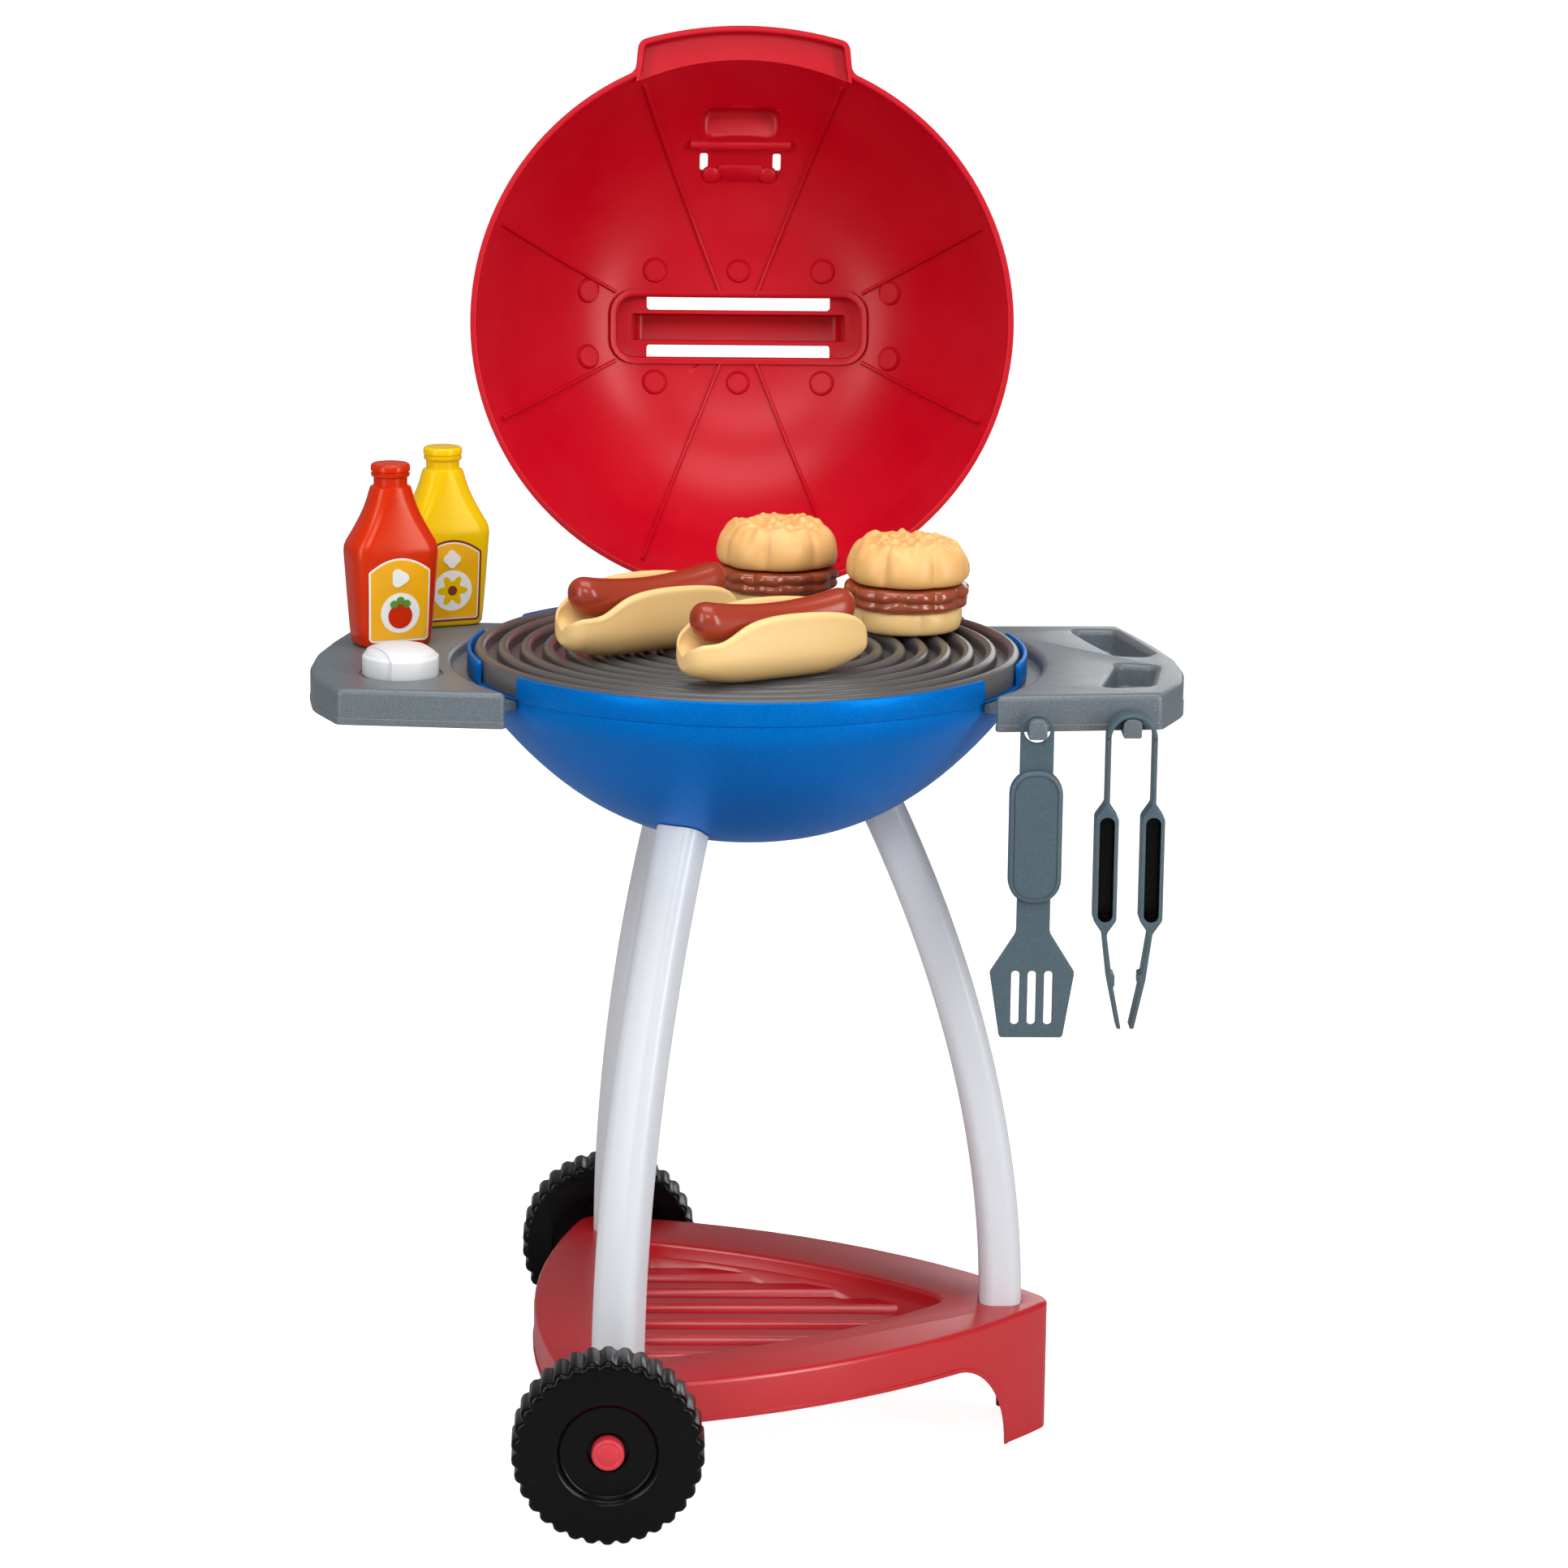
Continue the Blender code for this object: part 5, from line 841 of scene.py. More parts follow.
def legHole(angle, growth, low, high):
    section = [(leg.foot + x, y) for x, y in outset(legSection(), growth)]
    return moved(prism(section, low, high), turn=angle)


def archTool(growth=0):  # everything below the skirt, up to the quarter ellipse beside the foot
    reach, top = base.archReach + growth, base.skirtZ + growth
    outline = [(-160, -overrun), (base.archStart + reach, -overrun)]
    outline += arc(base.archStart, 0, reach, top, 0, pi / 2, 16) + [(-160, top)]
    return standing(outline, [(0, -230), (0, 230)])


def axleRod(radius, start, end, sides=40):
    return rod(radius, (base.wheelX, start, base.axleZ), (base.wheelX, end, base.axleZ), sides)


def makeBase():
    s = base
    outline = bulgedTriangle(s.apex, s.left, s.half, s.sideBulge, s.leftBulge, s.corner, 14)
    recess = bulgedTriangle(s.recessApex, s.recessLeft, s.recessHalf, s.recessBulge, s.recessBulge / 2,
                            s.recessCorner, 10)
    skin = stack(outline, [(0, 0), (0, s.top - s.edge)] + roundTop(s.edge, s.top, 5))
    lipped = cut(prism(outset(outline, s.flange), 0, s.top - 10), archTool())
    lipped = common(lipped, archTool(s.flangeHeight))  # a thin proud line along the lower edge
    hollow = cut(prism(outset(outline, -s.wall), -overrun, s.top - s.wall),
                 prism(outset(recess, s.wall), s.floor - s.wall, s.top),
                 *(legHole(angle, s.wall, s.top - 20, s.top) for angle in legAngles.values()),
                 *(axleRod(s.boss, side * 134, side * 200) for side in (-1, 1)))
    soft = 3
    space = stack(recess, [(-5.5, s.floor), (-4.6, s.floor + 1.2), (-2.6, s.floor + 7.5),
                           (-1.4, s.floor + 8.4), (0, s.top - 3.2)]
                  + arc(soft, s.top - soft, -soft, soft, 0, pi / 2, 5) + [(soft, s.top + overrun)])
    half = [(s.ribWidth / 2, -1), (s.ribWidth / 2 - 1.4, s.ribHeight - 1.2),
            (s.ribWidth / 2 - 2.8, s.ribHeight)]
    section = [(-y, z) for y, z in half] + half[::-1]
    count = int(s.recessHalf / s.ribPitch)
    ribs = [across([(s.ribPitch * i + y, s.floor + z) for y, z in section], -110, 160)
            for i in range(-count, count + 1)]
    grid = common(beside(*ribs), prism(outset(recess, -2.2), s.floor - 2, s.top - 4))
    mesh = cut(add(cut(skin, archTool()), lipped), hollow, space)
    mesh = add(mesh, grid, *(axleRod(s.boss, side * 182, side * 196.2) for side in (-1, 1)))
    return cut(mesh, *(legHole(angle, 0.5, s.top - 17, s.top + overrun) for angle in legAngles.values()),
               axleRod(s.bore, -240, 240, 32))


piece("baseShelf", makeBase(), "baseRed", "grill", ["base"], edge=0.45)
print("base made")

# Wheels with a lumpy tread, drawn with the outer face up
wheel = Settings(radius=60.3, width=35.5, lumps=34, deep=2.6, hub=33, hubDeep=5, well=12.5, wellDeep=4.5,
                 back=40, backDeep=7, cap=10.2, proud=2)


def makeWheel():
    s = wheel
    w = s.width
    tread = ((4.5, 0.8, 0), (2, 1.8, 0.5), (0.6, s.deep, 1.8), (0, s.deep, 3.5), (0, s.deep, w - 4.2),
             (0.5, s.deep, w - 2.4), (1.6, 2.2, w - 1.1), (3.2, 1.4, w - 0.35), (5.4, 0.3, w))
    mesh = loft([[(x, y, z) for x, y in polar(
        lambda a: s.radius - inset - deep * abs(cos(s.lumps * a / 2)) ** 4, 340)] for inset, deep, z in tread])
    floor = w - s.hubDeep
    dish = spin([(0, floor - s.wellDeep), (s.well, floor - s.wellDeep), (s.well, floor - 0.6),
                 (s.well + 0.6, floor), (s.hub - 4.6, floor), (s.hub - 3.4, floor + 0.5),
                 (s.hub - 2.4, floor + 2), (s.hub - 1, w - 0.9), (s.hub + 0.4, w - 0.1),
                 (s.hub + 0.6, w + overrun), (0, w + overrun)])
    back = spin([(base.boss, -overrun), (s.back, -overrun), (s.back, s.backDeep), (base.boss, s.backDeep)],
                closed=True)
    return cut(mesh, dish, back, rod(base.bore, (0, 0, -overrun), (0, 0, w + overrun), 32))


def makeCap():
    s = wheel
    deep = s.hubDeep + s.wellDeep - 0.6
    face = [(s.cap, 0.2), (3.4, 0.2), (3.1, 0.45), (2.8, 0.2), (1.2, 0.3), (0.4, 0.8), (0, 1.7)]
    return spin([(s.cap - inset, s.proud - drop) for inset, drop in face]
                + [(s.cap, -deep), (base.bore, -deep), (base.bore, -2), (0, -2)], 64)


for name, side in (("front", -1), ("rear", 1)):
    low, high = boxOf(name + "_wheel")
    centre = (low + high) / 2
    centre.y = high.y if side < 0 else low.y
    tread = moved(makeWheel(), centre, -side * pi / 2, "X")
    piece(name + "WheelTread", tread, "wheelBlack", name + "_wheel_body", [name + "_wheel"],
          edge=0.3, angle=45)
    cap = moved(makeCap(), centre + Vector((0, side * wheel.width, 0)), -side * pi / 2, "X")
    piece(name + "AxleCap", cap, "capRed", "grill", [name + "_axle_cap"])
print("wheels made")

# Spatula, drawn flat about its ring's centre
spatula = Settings(thick=2.8, strap=21.2, hole=8.4, drop=198.5, neck=-130, bladeTop=-155.8, blade=53.6,
                   edge=40, padWidth=33.4, padLength=85, padZ=-67.9, padThick=7.5, slot=(5.2, 35),
                   slotZ=-172.7)


def makeSpatula():
    s = spatula
    half, thick = s.strap / 2, s.thick / 2
    outline = [(half, s.neck)] + arc(0, 0, half, half, 0, pi, 20)
    last = len(outline)
    outline += [(-half, s.neck), (-s.blade / 2, s.bladeTop), (-s.edge / 2, -s.drop), (s.edge / 2, -s.drop),
                (s.blade / 2, s.bladeTop)]
    radii = {0: 9, last: 9, last + 1: 4, last + 2: 2.4, last + 3: 2.4, last + 4: 4}
    outline = softCorners(outline, radii)
    mesh = cut(softPlate(outline, thick, 0.8), rod(s.hole, (0, -9, 0), (0, 9, 0), 48))
    pad = roundedRect(s.padWidth, s.padLength, s.padWidth * 0.455, 8, centre=(0, s.padZ))
    front = thick - s.padThick
    padMesh = standing(pad, [(-2.6, front), (-1.2, front + 0.25), (-0.4, front + 0.8), (0, front + 1.8),
                             (0, thick)])
    groove = stack(outset(pad, -3.2), [(0.35, -0.5), (0.35, 0.35), (-0.35, 0.35), (-0.35, -0.5)], closed=True)
    mesh = add(mesh, cut(padMesh, moved(groove, (0, front, 0), pi / 2, "X")))
    width, length = s.slot
    slots = [roundedRect(width, length, width * 0.45, 4, centre=(offset * width, s.slotZ))
             for offset in (-2, 0, 2)]
    return cut(mesh, *(standing(slot, [(1, -thick - 0.6), (0.1, -thick + 0.5), (0, -thick + 0.9),
                                       (0, thick + overrun)]) for slot in slots))


low, high = boxOf("spatula")
ringPlace = ((low.x + high.x) / 2, high.y - spatula.thick / 2, high.z - spatula.strap / 2)
piece("spatulaBlade", moved(makeSpatula(), ringPlace), "utensilGrey", "spatula_body", ["spatula"], edge=0.3)

# Tongs: a bow over the hook and two arms with hollow grips
tongs = Settings(bow=15.8, band=2.6, deep=16.5, drop=187, grip=14.5, tip=5.6, gripTop=0.227, gripEnd=0.671,
                 nubs=(0.81, 0.815, 0.85, 0.855), elbowZ=0.83, elbow=0.72, nub=0.56, taper=0.6, gap=0.4,
                 soft=0.7)


def tongsArm(side):
    s = tongs
    outer, inner = s.bow, s.bow - s.band
    drop, taper, half = s.drop, s.grip * s.taper, s.deep / 2
    top, end = -drop * s.gripTop, -drop * s.gripEnd
    gripIn = (inner + outer - s.grip) / 2
    gripOut = gripIn + s.grip
    elbow, nub, tip = inner * s.elbow, inner * s.nub, s.tip / 2
    nubZ = [-drop * share for share in s.nubs]
    outline = [(outer, -s.gap), (outer, top), (gripOut, top - taper), (gripOut, end + taper), (outer, end),
               (elbow + s.band, -drop * s.elbowZ), (tip + s.band, -drop), (tip, -drop),
               (elbow - s.band / 2, nubZ[3]), (nub, nubZ[2]), (nub, nubZ[1]), (elbow, nubZ[0]), (inner, end),
               (gripIn, end + taper), (gripIn, top - taper), (inner, top), (inner, -s.gap)]
    soft = dict.fromkeys((1, 2, 3, 4, 12, 13, 14, 15), 5)
    mesh = softPlate(softCorners(outline[::-1], soft, 4), half, s.soft, 2)
    left, right = gripIn + s.band, gripOut - s.band
    low, high = end + taper * 0.9, top - taper * 0.9
    space = softCorners([(left, low), (right, low), (right, high), (left, high)], allCorners(4.4))
    mesh = cut(mesh, standing(space, [(0, -half - overrun), (0, half - s.band)]))
    near = 0.2
    for face in mesh.polygons:  # the hollow of the grip takes painted shade, a near-black finish standing in for its deep shadow
        x, y, z = face.center
        face.material_index = (left - near < x < right + near and low - near < z < high + near
                               and 1 - half < y < half - s.band + near)
    if side < 0:
        mesh.transform(Matrix.Scale(-1, 4, (1, 0, 0)))
        mesh.flip_normals()
    return mesh


def tongsBow():
    outer, inner = tongs.bow, tongs.bow - tongs.band
    outline = arc(0, 0, outer, outer, 0, pi, 32) + arc(0, 0, inner, inner, pi, 0, 32)
    return softPlate(outline, tongs.deep / 2, tongs.soft, 2)


bowPlace = middleOf("tongs_bow")
bowPlace.z = boxOf("tongs_bow")[0].z
piece("tongsBow", moved(tongsBow(), bowPlace), "utensilGrey", "tongs_body", ["tongs_bow"], angle=45)
for name, side in (("Right", 1), ("Left", -1)):
    body = "tongs_" + name.lower()
    piece("tongs" + name + "Arm", moved(tongsArm(side), bowPlace), "utensilGrey", body, [body + "_arm"],
          edge=0.3, lining="gripDark")
print("utensils made")

# Toy burgers, their rims bulging in lobes, with (reach, height, lobe depth) profiles
burger = Settings(topRadius=41, topHeight=32, topLobes=7, topPhase={1: -1.5, 2: -0.73}, crumbs=42,
                  patty=42.5, pattyHeight=15, pattyLobes=12, bottom=37.5, bottomHeight=16, bottomLobes=5,
                  bottomPhase=-1.29)


def lobed(profile, radius, height, lobes, sides, phase, power):
    return [[(x, y, height * tall) for x, y in polar(
        lambda a: radius * reach * (1 - depth + depth * abs(cos(lobes * a / 2 + phase)) ** power), sides)]
        for reach, tall, depth in profile]


def makeTopBun(seed):
    radius, height = burger.topRadius, burger.topHeight
    profile = [(0.6, 0.03, 0.03), (0.86, 0, 0.06), (0.955, 0.05, 0.09), (1, 0.16, 0.115), (1, 0.3, 0.125),
               (0.985, 0.42, 0.12), (0.955, 0.54, 0.105), (0.91, 0.645, 0.085), (0.845, 0.74, 0.06),
               (0.765, 0.815, 0.035)]
    profile += [(0.72 * t, 0.845 + 0.085 * (1 - t ** 2), 0.02 * t) for t in (1 - k / 18 for k in range(18))]
    mesh = loft(lobed(profile, radius, height, burger.topLobes, 126, burger.topPhase[seed], 0.5)
                + [[(0, 0, height * 0.93)]])
    crumbs = []
    for k in range(burger.crumbs):  # crumbs spread over the crown in a loose spiral
        reach = radius * 0.74 * sqrt((k + 0.5) / burger.crumbs)
        a = 2.4 * k + seed
        width = 2.1 + 0.9 * noise.noise(Vector((k * 3.1, seed, 0)))
        crumbs.append((Vector((reach * cos(a), reach * sin(a), 0)), width))
    for vertex in mesh.vertices:
        point = vertex.co
        share = point.z / height
        if share > 0.45:
            flat = Vector((point.x, point.y, 0))
            lumps = noise.noise(point * 0.075 + Vector((seed * 7, 0, 0))) * 2.6
            lumps += noise.noise(point * 0.17 + Vector((0, seed * 5, 0))) * 1.6
            bumps = max(exp(-((flat - place).length / width) ** 2) for place, width in crumbs)
            rise = (lumps + 2 * bumps) * min(1, (share - 0.45) * 3)
            point += flat * 0.012 * rise + Vector((0, 0, rise))
        point.z = min(point.z, height - 0.1)
    return mesh


def makePatty(seed):
    radius, height = burger.patty, burger.pattyHeight
    profile = [(0.6, 0.02, 0), (0.86, 0, 0.03), (0.93, 0.03, 0.05), (0.965, 0.1, 0.06), (0.98, 0.22, 0.065),
               (0.97, 0.34, 0.06), (0.945, 0.42, 0.05), (0.955, 0.47, 0.05), (0.99, 0.56, 0.065),
               (1, 0.7, 0.075), (0.985, 0.84, 0.07), (0.95, 0.94, 0.06), (0.88, 0.99, 0.04), (0.6, 0.97, 0)]
    mesh = loft(lobed(profile, radius, height, burger.pattyLobes, 144, seed, 0.7))
    for vertex in mesh.vertices:
        point = vertex.co
        if point.xy.length > radius * 0.8:
            way = point.xy.normalized()
            wave = noise.noise(Vector((way.x * 3, way.y * 3, seed)))
            point.z += wave * 3.4 * (1 - abs(2 * point.z / height - 1))
            squeeze = 1 - 0.014 * (1 + noise.noise(Vector((way.x * 5, way.y * 5, point.z * 0.1 + seed))))
            point.x *= squeeze
            point.y *= squeeze
    return mesh


def makeBottomBun(seed):
    profile = [(0.6, 0, 0), (0.8, 0, 0.03), (0.9, 0.06, 0.06), (0.965, 0.2, 0.085), (0.995, 0.42, 0.1),
               (1, 0.66, 0.1), (0.985, 0.86, 0.085), (0.95, 0.97, 0.06), (0.88, 1, 0.03), (0.5, 1, 0)]
    return loft(lobed(profile, burger.bottom, burger.bottomHeight, burger.bottomLobes, 120,
                      burger.bottomPhase, 0.4))


def underLid(mesh):  # lowers whatever would reach the closed lid or its ribs
    for vertex in mesh.vertices:
        vertex.co.z = min(vertex.co.z, lidInner(vertex.co.xy.length + 2.4) - 2)
    return mesh


for name, seed in (("back", 1), ("right", 2)):
    for cadNode, part, maker, finish, body in (
            ("_bottom_bun", "BottomBun", makeBottomBun, "rollBun", "_burger"),
            ("_patty", "Patty", makePatty, "pattyBrown", "_patty_body"),
            ("_top_bun", "TopBun", makeTopBun, "burgerBun", "_top")):
        mesh = underLid(moved(maker(seed), footOf(name + cadNode)))
        piece(name + part, mesh, finish, name + body, [name + cadNode], fine=True)

# Hot dogs
roll = Settings(length=132, width=46, height=44, tall=4, endDrop=22, floor=22.5, wall=6.6, endFull=0.42,
                waist=0.85, endPower=2.6, dip=5.5)
sausage = Settings(length=118, radius=11.9, bow=6.6, tip=3.4, pinch=0.16)
hotDogTurns = {"left": radians(35), "front": radians(31)}


def endCurve(away, start):  # full up to start, then a quarter circle down to nothing at the end
    return sqrt(max(0, 1 - (max(0, away - start) / (1 - start)) ** 2))


def makeRoll():
    s = roll
    waist, soft = s.endDrop * s.waist, s.wall / 2
    steps = 64
    rings = []
    for i in range(steps + 1):
        share = (1 - cos(pi * i / steps)) / 2
        away = abs(2 * share - 1)
        end = endCurve(away, 0.88)
        full = sqrt(max(0, 1 - away ** s.endPower))
        full = (s.endFull + (1 - s.endFull) * full) * (0.35 + 0.65 * end)
        lower = share < 0.5
        top = s.height - s.endDrop * (0.75 * away ** 2 if lower else 0.35 * away ** 2 + 0.65 * away ** 7)
        far = top + s.tall * min(1, 3.5 * (1 - away))
        near = top - s.dip * exp(-((share - 0.15) / 0.1) ** 2)
        hollow = min(1, max(0, (1 - away - 0.04) / 0.12))
        floor = min(s.floor, near - 0.5 - 6 * hollow * hollow * (3 - 2 * hollow))
        half = s.width / 2 * full
        trough = half * (1 - 2 * s.wall / s.width) * 0.93
        belly = waist - (9 if lower else 13) * (max(0, away - 0.3) / 0.7) ** 2.3
        centre = half - soft * 1.15 * full
        ring = arc(0, waist, half, belly, pi, 2 * pi, 14)
        ring += [(half * 0.99, waist + (far - waist) * 0.35), (half * 0.965, waist + (far - waist) * 0.7)]
        ring += arc(centre, far - soft, soft * full, soft, 0, pi, 6)
        for j in range(1, 12):
            wall = (far if j < 6 else near) - soft
            ring.append((trough * cos(pi * j / 12), wall - (wall - floor) * sin(pi * j / 12)))
        ring += arc(-centre, near - soft, soft * full, soft, 0, pi, 6)
        ring += [(-half * 0.965, waist + (near - waist) * 0.7), (-half * 0.99, waist + (near - waist) * 0.35)]
        level = waist * (0.85 if lower else 1.15)
        squeeze = 0.55 + 0.45 * end
        rings.append([(s.length * (share - 0.5), y, level + (z - level) * squeeze) for y, z in ring])
    return loft(rings)


def makeSausage():
    s = sausage
    steps, sides = 48, 36
    first, last = ([(way * (s.length / 2 - s.tip), 0, s.radius + s.bow)] for way in (-1, 1))
    rings = [first]
    for i in range(2, steps - 1):
        share = (1 - cos(pi * i / steps)) / 2
        away = abs(2 * share - 1)
        radius = s.radius * endCurve(away, 0.79) * (1 + 0.07 * away ** 2)
        rise = s.radius + s.bow * away ** 2
        pinch = s.pinch * max(0, 1 - radius / 8.5)
        rings.append([(s.length * (share - 0.5), y, rise + z)
                      for y, z in polar(lambda a: radius * (1 - pinch * abs(cos(2.5 * a))), sides)])
    return loft(rings + [last])


for name, turn in hotDogTurns.items():
    for suffix, part, maker, finish, body, fine in (
            ("_hot_dog_bun", "Roll", makeRoll, "rollBun", "_hot_dog", True),
            ("_sausage", "Sausage", makeSausage, "sausageBrown", "_sausage_body", False)):
        mesh = moved(maker(), footOf(name + suffix), turn)
        piece(name + part, mesh, finish, name + body, [name + suffix], angle=80, fine=fine)
print("food made")

# Sauce bottles, with (width, thickness, height) and (neck reach, height) profiles
bottle = Settings(height=118, width=59, thick=35, neck=12.8, turn=radians(22), corner=0.3)
bottleProfile = ((0.76, 0.76, 0), (0.8, 0.82, 0.006), (0.835, 0.87, 0.018), (0.87, 0.9, 0.09),
                 (0.93, 0.955, 0.28), (0.985, 0.99, 0.47), (1, 1, 0.515), (0.995, 0.99, 0.545),
                 (0.955, 0.95, 0.575), (0.885, 0.915, 0.605), (0.765, 0.86, 0.66), (0.665, 0.81, 0.71),
                 (0.58, 0.77, 0.76), (0.515, 0.74, 0.81), (0.468, 0.715, 0.855), (0.446, 0.7, 0.872))
neckProfile = ((0.9, 0.878), (0.86, 0.882), (0.86, 0.925), (0.95, 0.93), (0.985, 0.938), (0.985, 0.948),
               (0.93, 0.952), (0.93, 0.957), (1, 0.963), (1, 0.985), (0.97, 0.994), (0.9, 1))


def makeBottle():
    s = bottle
    rings = []
    for wide, thick, tall in bottleProfile:
        depth = s.thick * thick
        soft = s.corner + 0.19 * max(0, tall - 0.5) / 0.372
        rings.append([(x, y, s.height * tall) for x, y in roundedRect(s.width * wide, depth, depth * soft, 7)])
    ways = [Vector(point).normalized() * s.neck for point in roundedRect(2, 2, 0.98, 7)]
    return loft(rings + [[(way.x * share, way.y * share, s.height * tall) for way in ways]
                         for share, tall in neckProfile])


# Bottle labels, thin sheets that follow the front of the body
label = Settings(half=21, low=3.6, side=50, crown=58.5, corner=3)


def bottleFront(x, z):  # how far the front stands out at a place on it
    tall = z / bottle.height
    for low, high in zip(bottleProfile, bottleProfile[1:]):
        if low[2] <= tall <= high[2]:
            break
    share = (tall - low[2]) / (high[2] - low[2])
    wide, thick = (low[k] + (high[k] - low[k]) * share for k in (0, 1))
    depth = bottle.thick * thick
    radius = depth * bottle.corner
    past = max(0, abs(x) - (bottle.width * wide / 2 - radius))
    return depth / 2 - radius + sqrt(max(0, radius ** 2 - past ** 2))


def labelShape(inset=0):
    s = label
    crown = [(s.half * t, s.side + (s.crown - s.side) * (1 - t ** 2))
             for t in (1 - i / 9 for i in range(1, 18))]
    outline = [(-s.half * 0.96, s.low), (s.half * 0.96, s.low), (s.half, s.side)] + crown + [(-s.half, s.side)]
    radii = {0: s.corner, 1: s.corner, 2: 2, len(outline) - 1: 2}
    return outset(softCorners(outline, radii, 4), -inset)


def blob(x, z, radius, lobes=0, depth=0):
    return [(x + a, z + b) for a, b in polar(lambda a: radius * (1 - depth + depth * cos(lobes * a)), 72)]


def labelSheet(outline, rise):
    outline = finer(outline)
    middle = Vector((sum(x for x, z in outline), sum(z for x, z in outline))) / len(outline)
    rings = []
    for scale, lift in [(1, rise - 0.7), (1, rise)] + [(1 - k / 14, rise) for k in range(1, 14)]:
        ring = [middle + (Vector(point) - middle) * scale for point in outline]
        rings.append([(x, -bottleFront(x, z) - lift, z) for x, z in ring])
    return loft(rings + [[(middle.x, -bottleFront(middle.x, middle.y) - rise, middle.y)]])


labelLayers = {
    "ketchup": [("Backing", "labelWhite", labelShape()), ("Panel", "labelGold", labelShape(1.2)),
                ("Disc", "labelWhite", blob(0.5, 22.5, 13.2)), ("Drop", "ketchupRed", blob(0.5, 20.4, 8.2)),
                ("Arc", "labelWhite", blob(0, 45.5, 6.4, 3, 0.12))]
    + [("Petal%d" % i, "labelGreen", blob(5.2 * cos(a) + 0.5, 25.5 + 5.2 * sin(a), 2.6))
       for i, a in enumerate((0.6, 1.57, 2.54))],
    "mustard": [("Backing", "labelBrown", labelShape()), ("Line", "labelWhite", labelShape(1.6)),
                ("Panel", "labelAmber", labelShape(2.4)), ("Disc", "labelWhite", blob(0.5, 24.5, 13.6)),
                ("Flower", "mustardYellow", blob(0.5, 24.5, 10.6, 6, 0.22)),
                ("Heart", "labelBrown", blob(0.5, 24.5, 3.2)),
                ("Arc", "labelWhite", blob(0, 45.5, 6, 4, 0.1))]}
for name, finish in (("ketchup", "ketchupRed"), ("mustard", "mustardYellow")):
    mesh = moved(makeBottle(), footOf(name + "_bottle"), bottle.turn)
    piece(name + "BottleShell", mesh, finish, name, [name + "_bottle"], angle=30)
for name, layers in labelLayers.items():
    for level, (part, finish, outline) in enumerate(layers):
        sheet = labelSheet(outline, 0.15 + 0.14 * level)
        piece(name + "Label" + part, moved(sheet, footOf(name + "_bottle"), bottle.turn), finish, name)
print("bottles made")

# CAD fasteners keep their own solids and get the finishes
for name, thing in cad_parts.items():
    steel = any(word in name for word in ("screw", "pin", "axle")) and "cap" not in name
    if steel or name == "knob_clip":
        for slot in thing.material_slots:
            slot.material = finishes["steel" if steel else "wheelBlack"]

# Floor, light and camera
studio = Settings(floorReach=40, floorColour=(0.55, 0.55, 0.55), seenFloor=0.92, world=0.22, seenWorld=1.05)
lights = {"leftBox": ((-2.2, -2.2, 1.35), (0, 0, 0.55), (0.9, 2.5), 38),
          "rightBox": ((2.3, -2, 1.35), (0, 0, 0.55), (0.8, 2.5), 56),
          "topBox": ((0, -0.4, 2.7), (0, 0, 0.5), (2, 1.6), 34),
          "frontBox": ((-0.3, -3.8, 2.8), (0, 0, 0.6), (1.8, 1), 38),
          "backBox": ((1.3, 3.4, 1.3), (0.2, 0, 0.4), (1.7, 1), 12)}


def cameraRay(tree):
    return node(tree, "ShaderNodeLightPath").outputs["Is Camera Ray"]


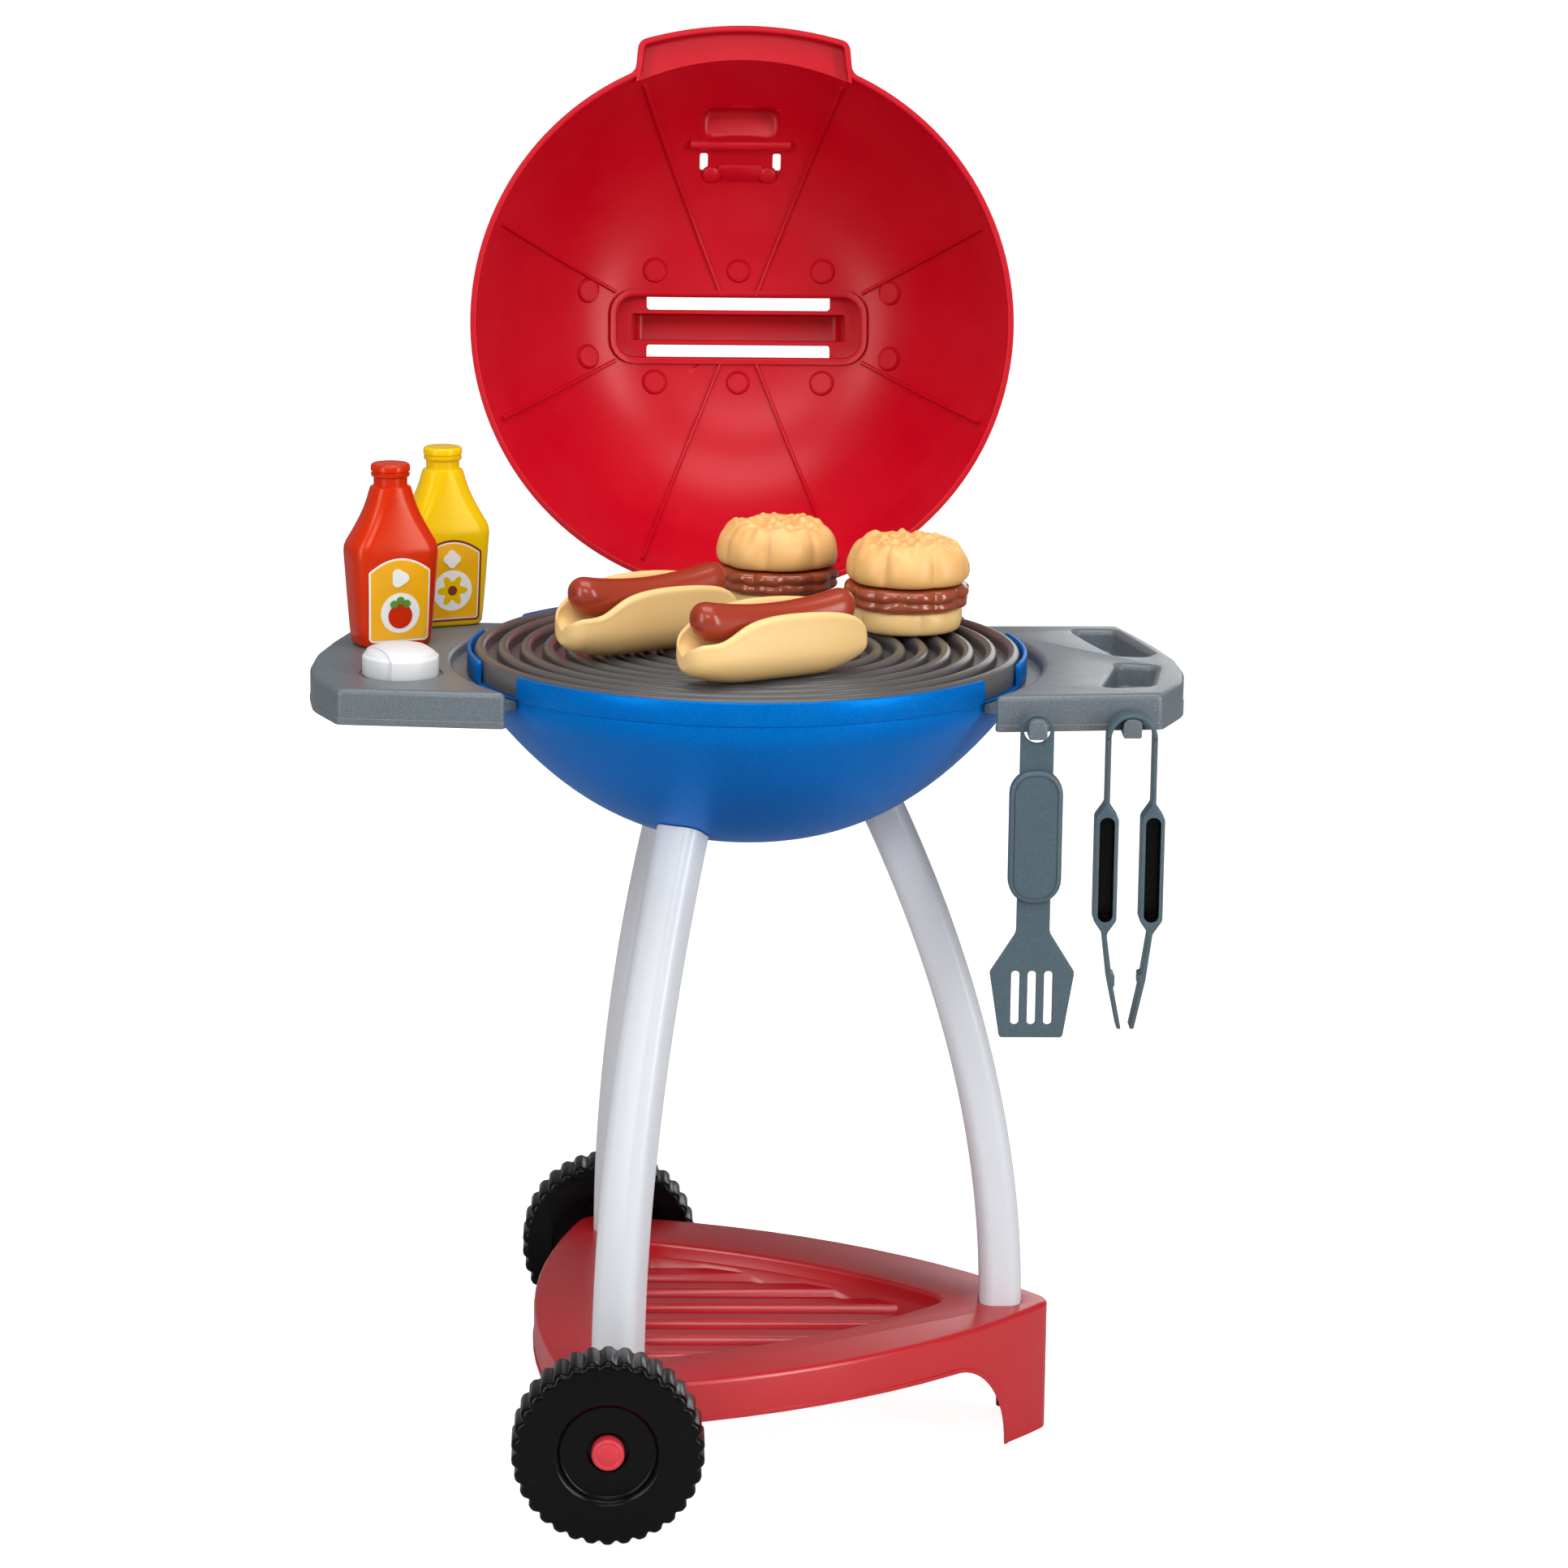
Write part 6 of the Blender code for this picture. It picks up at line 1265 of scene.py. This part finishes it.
def makeFloor():
    shape = bmesh.new()
    shape.faces.new([shape.verts.new((x, y, -0.0002)) for x, y in circle(studio.floorReach, 64)])
    mesh = meshOf(shape)
    material = bpy.data.materials.new("paleFloor")
    material.use_nodes = True
    tree = material.node_tree
    fill(tree.nodes["Principled BSDF"], {
        "Base Color": (*studio.floorColour, 1), "Roughness": 0.9, "Specular IOR Level": 0,
        "Emission Color": (1, 1, 1, 1),
        "Emission Strength": sums(tree, "MULTIPLY", cameraRay(tree), studio.seenFloor)})
    mesh.materials.append(material)
    floor = bpy.data.objects.new("floor", mesh)
    scene.collection.objects.link(floor)


def softBox(name, place, aim, size, power):
    light = bpy.data.lights.new(name, "AREA")
    light.shape = "RECTANGLE"
    light.size, light.size_y = size
    light.energy = power
    thing = bpy.data.objects.new(name, light)
    thing.location = place
    thing.rotation_euler = (Vector(aim) - Vector(place)).to_track_quat("-Z", "Y").to_euler()
    thing.visible_camera = False
    scene.collection.objects.link(thing)


makeFloor()
world = bpy.data.worlds.new("studio")
world.use_nodes = True
sky = world.node_tree
fill(sky.nodes["Background"], {
    "Color": (1, 1, 1, 1),
    "Strength": sums(sky, "MULTIPLY_ADD", cameraRay(sky), studio.seenWorld - studio.world, studio.world)})
scene.world = world
for name, settings in lights.items():
    softBox(name, *settings)
scene.view_settings.view_transform = "Standard"
scene.view_settings.look = "None"

camera = Settings(place=(-86.417, -3444.714, 1209.99), yaw=radians(1.849), pitch=radians(12.67),
                  roll=radians(0.728), focal=6727.18, image=1932, sensor=36)


def makeCamera():
    s = camera
    forward = Vector((sin(s.yaw) * cos(s.pitch), cos(s.yaw) * cos(s.pitch), -sin(s.pitch)))
    right = Vector((cos(s.yaw), -sin(s.yaw), 0))
    up = right.cross(forward)
    lens = bpy.data.cameras.new("photoView")
    lens.sensor_fit = "HORIZONTAL"
    lens.sensor_width = s.sensor
    lens.lens = s.focal * s.sensor / s.image
    lens.clip_start, lens.clip_end = 0.05, 200
    thing = bpy.data.objects.new("photoView", lens)
    turned = Matrix((right * cos(s.roll) + up * sin(s.roll), up * cos(s.roll) - right * sin(s.roll),
                     -forward))
    turned = turned.transposed().to_4x4()
    turned.translation = intoFrame @ Vector(s.place)
    thing.matrix_world = turned
    scene.collection.objects.link(thing)
    scene.camera = thing


makeCamera()
print("studio ready")
bpy.context.view_layer.update()
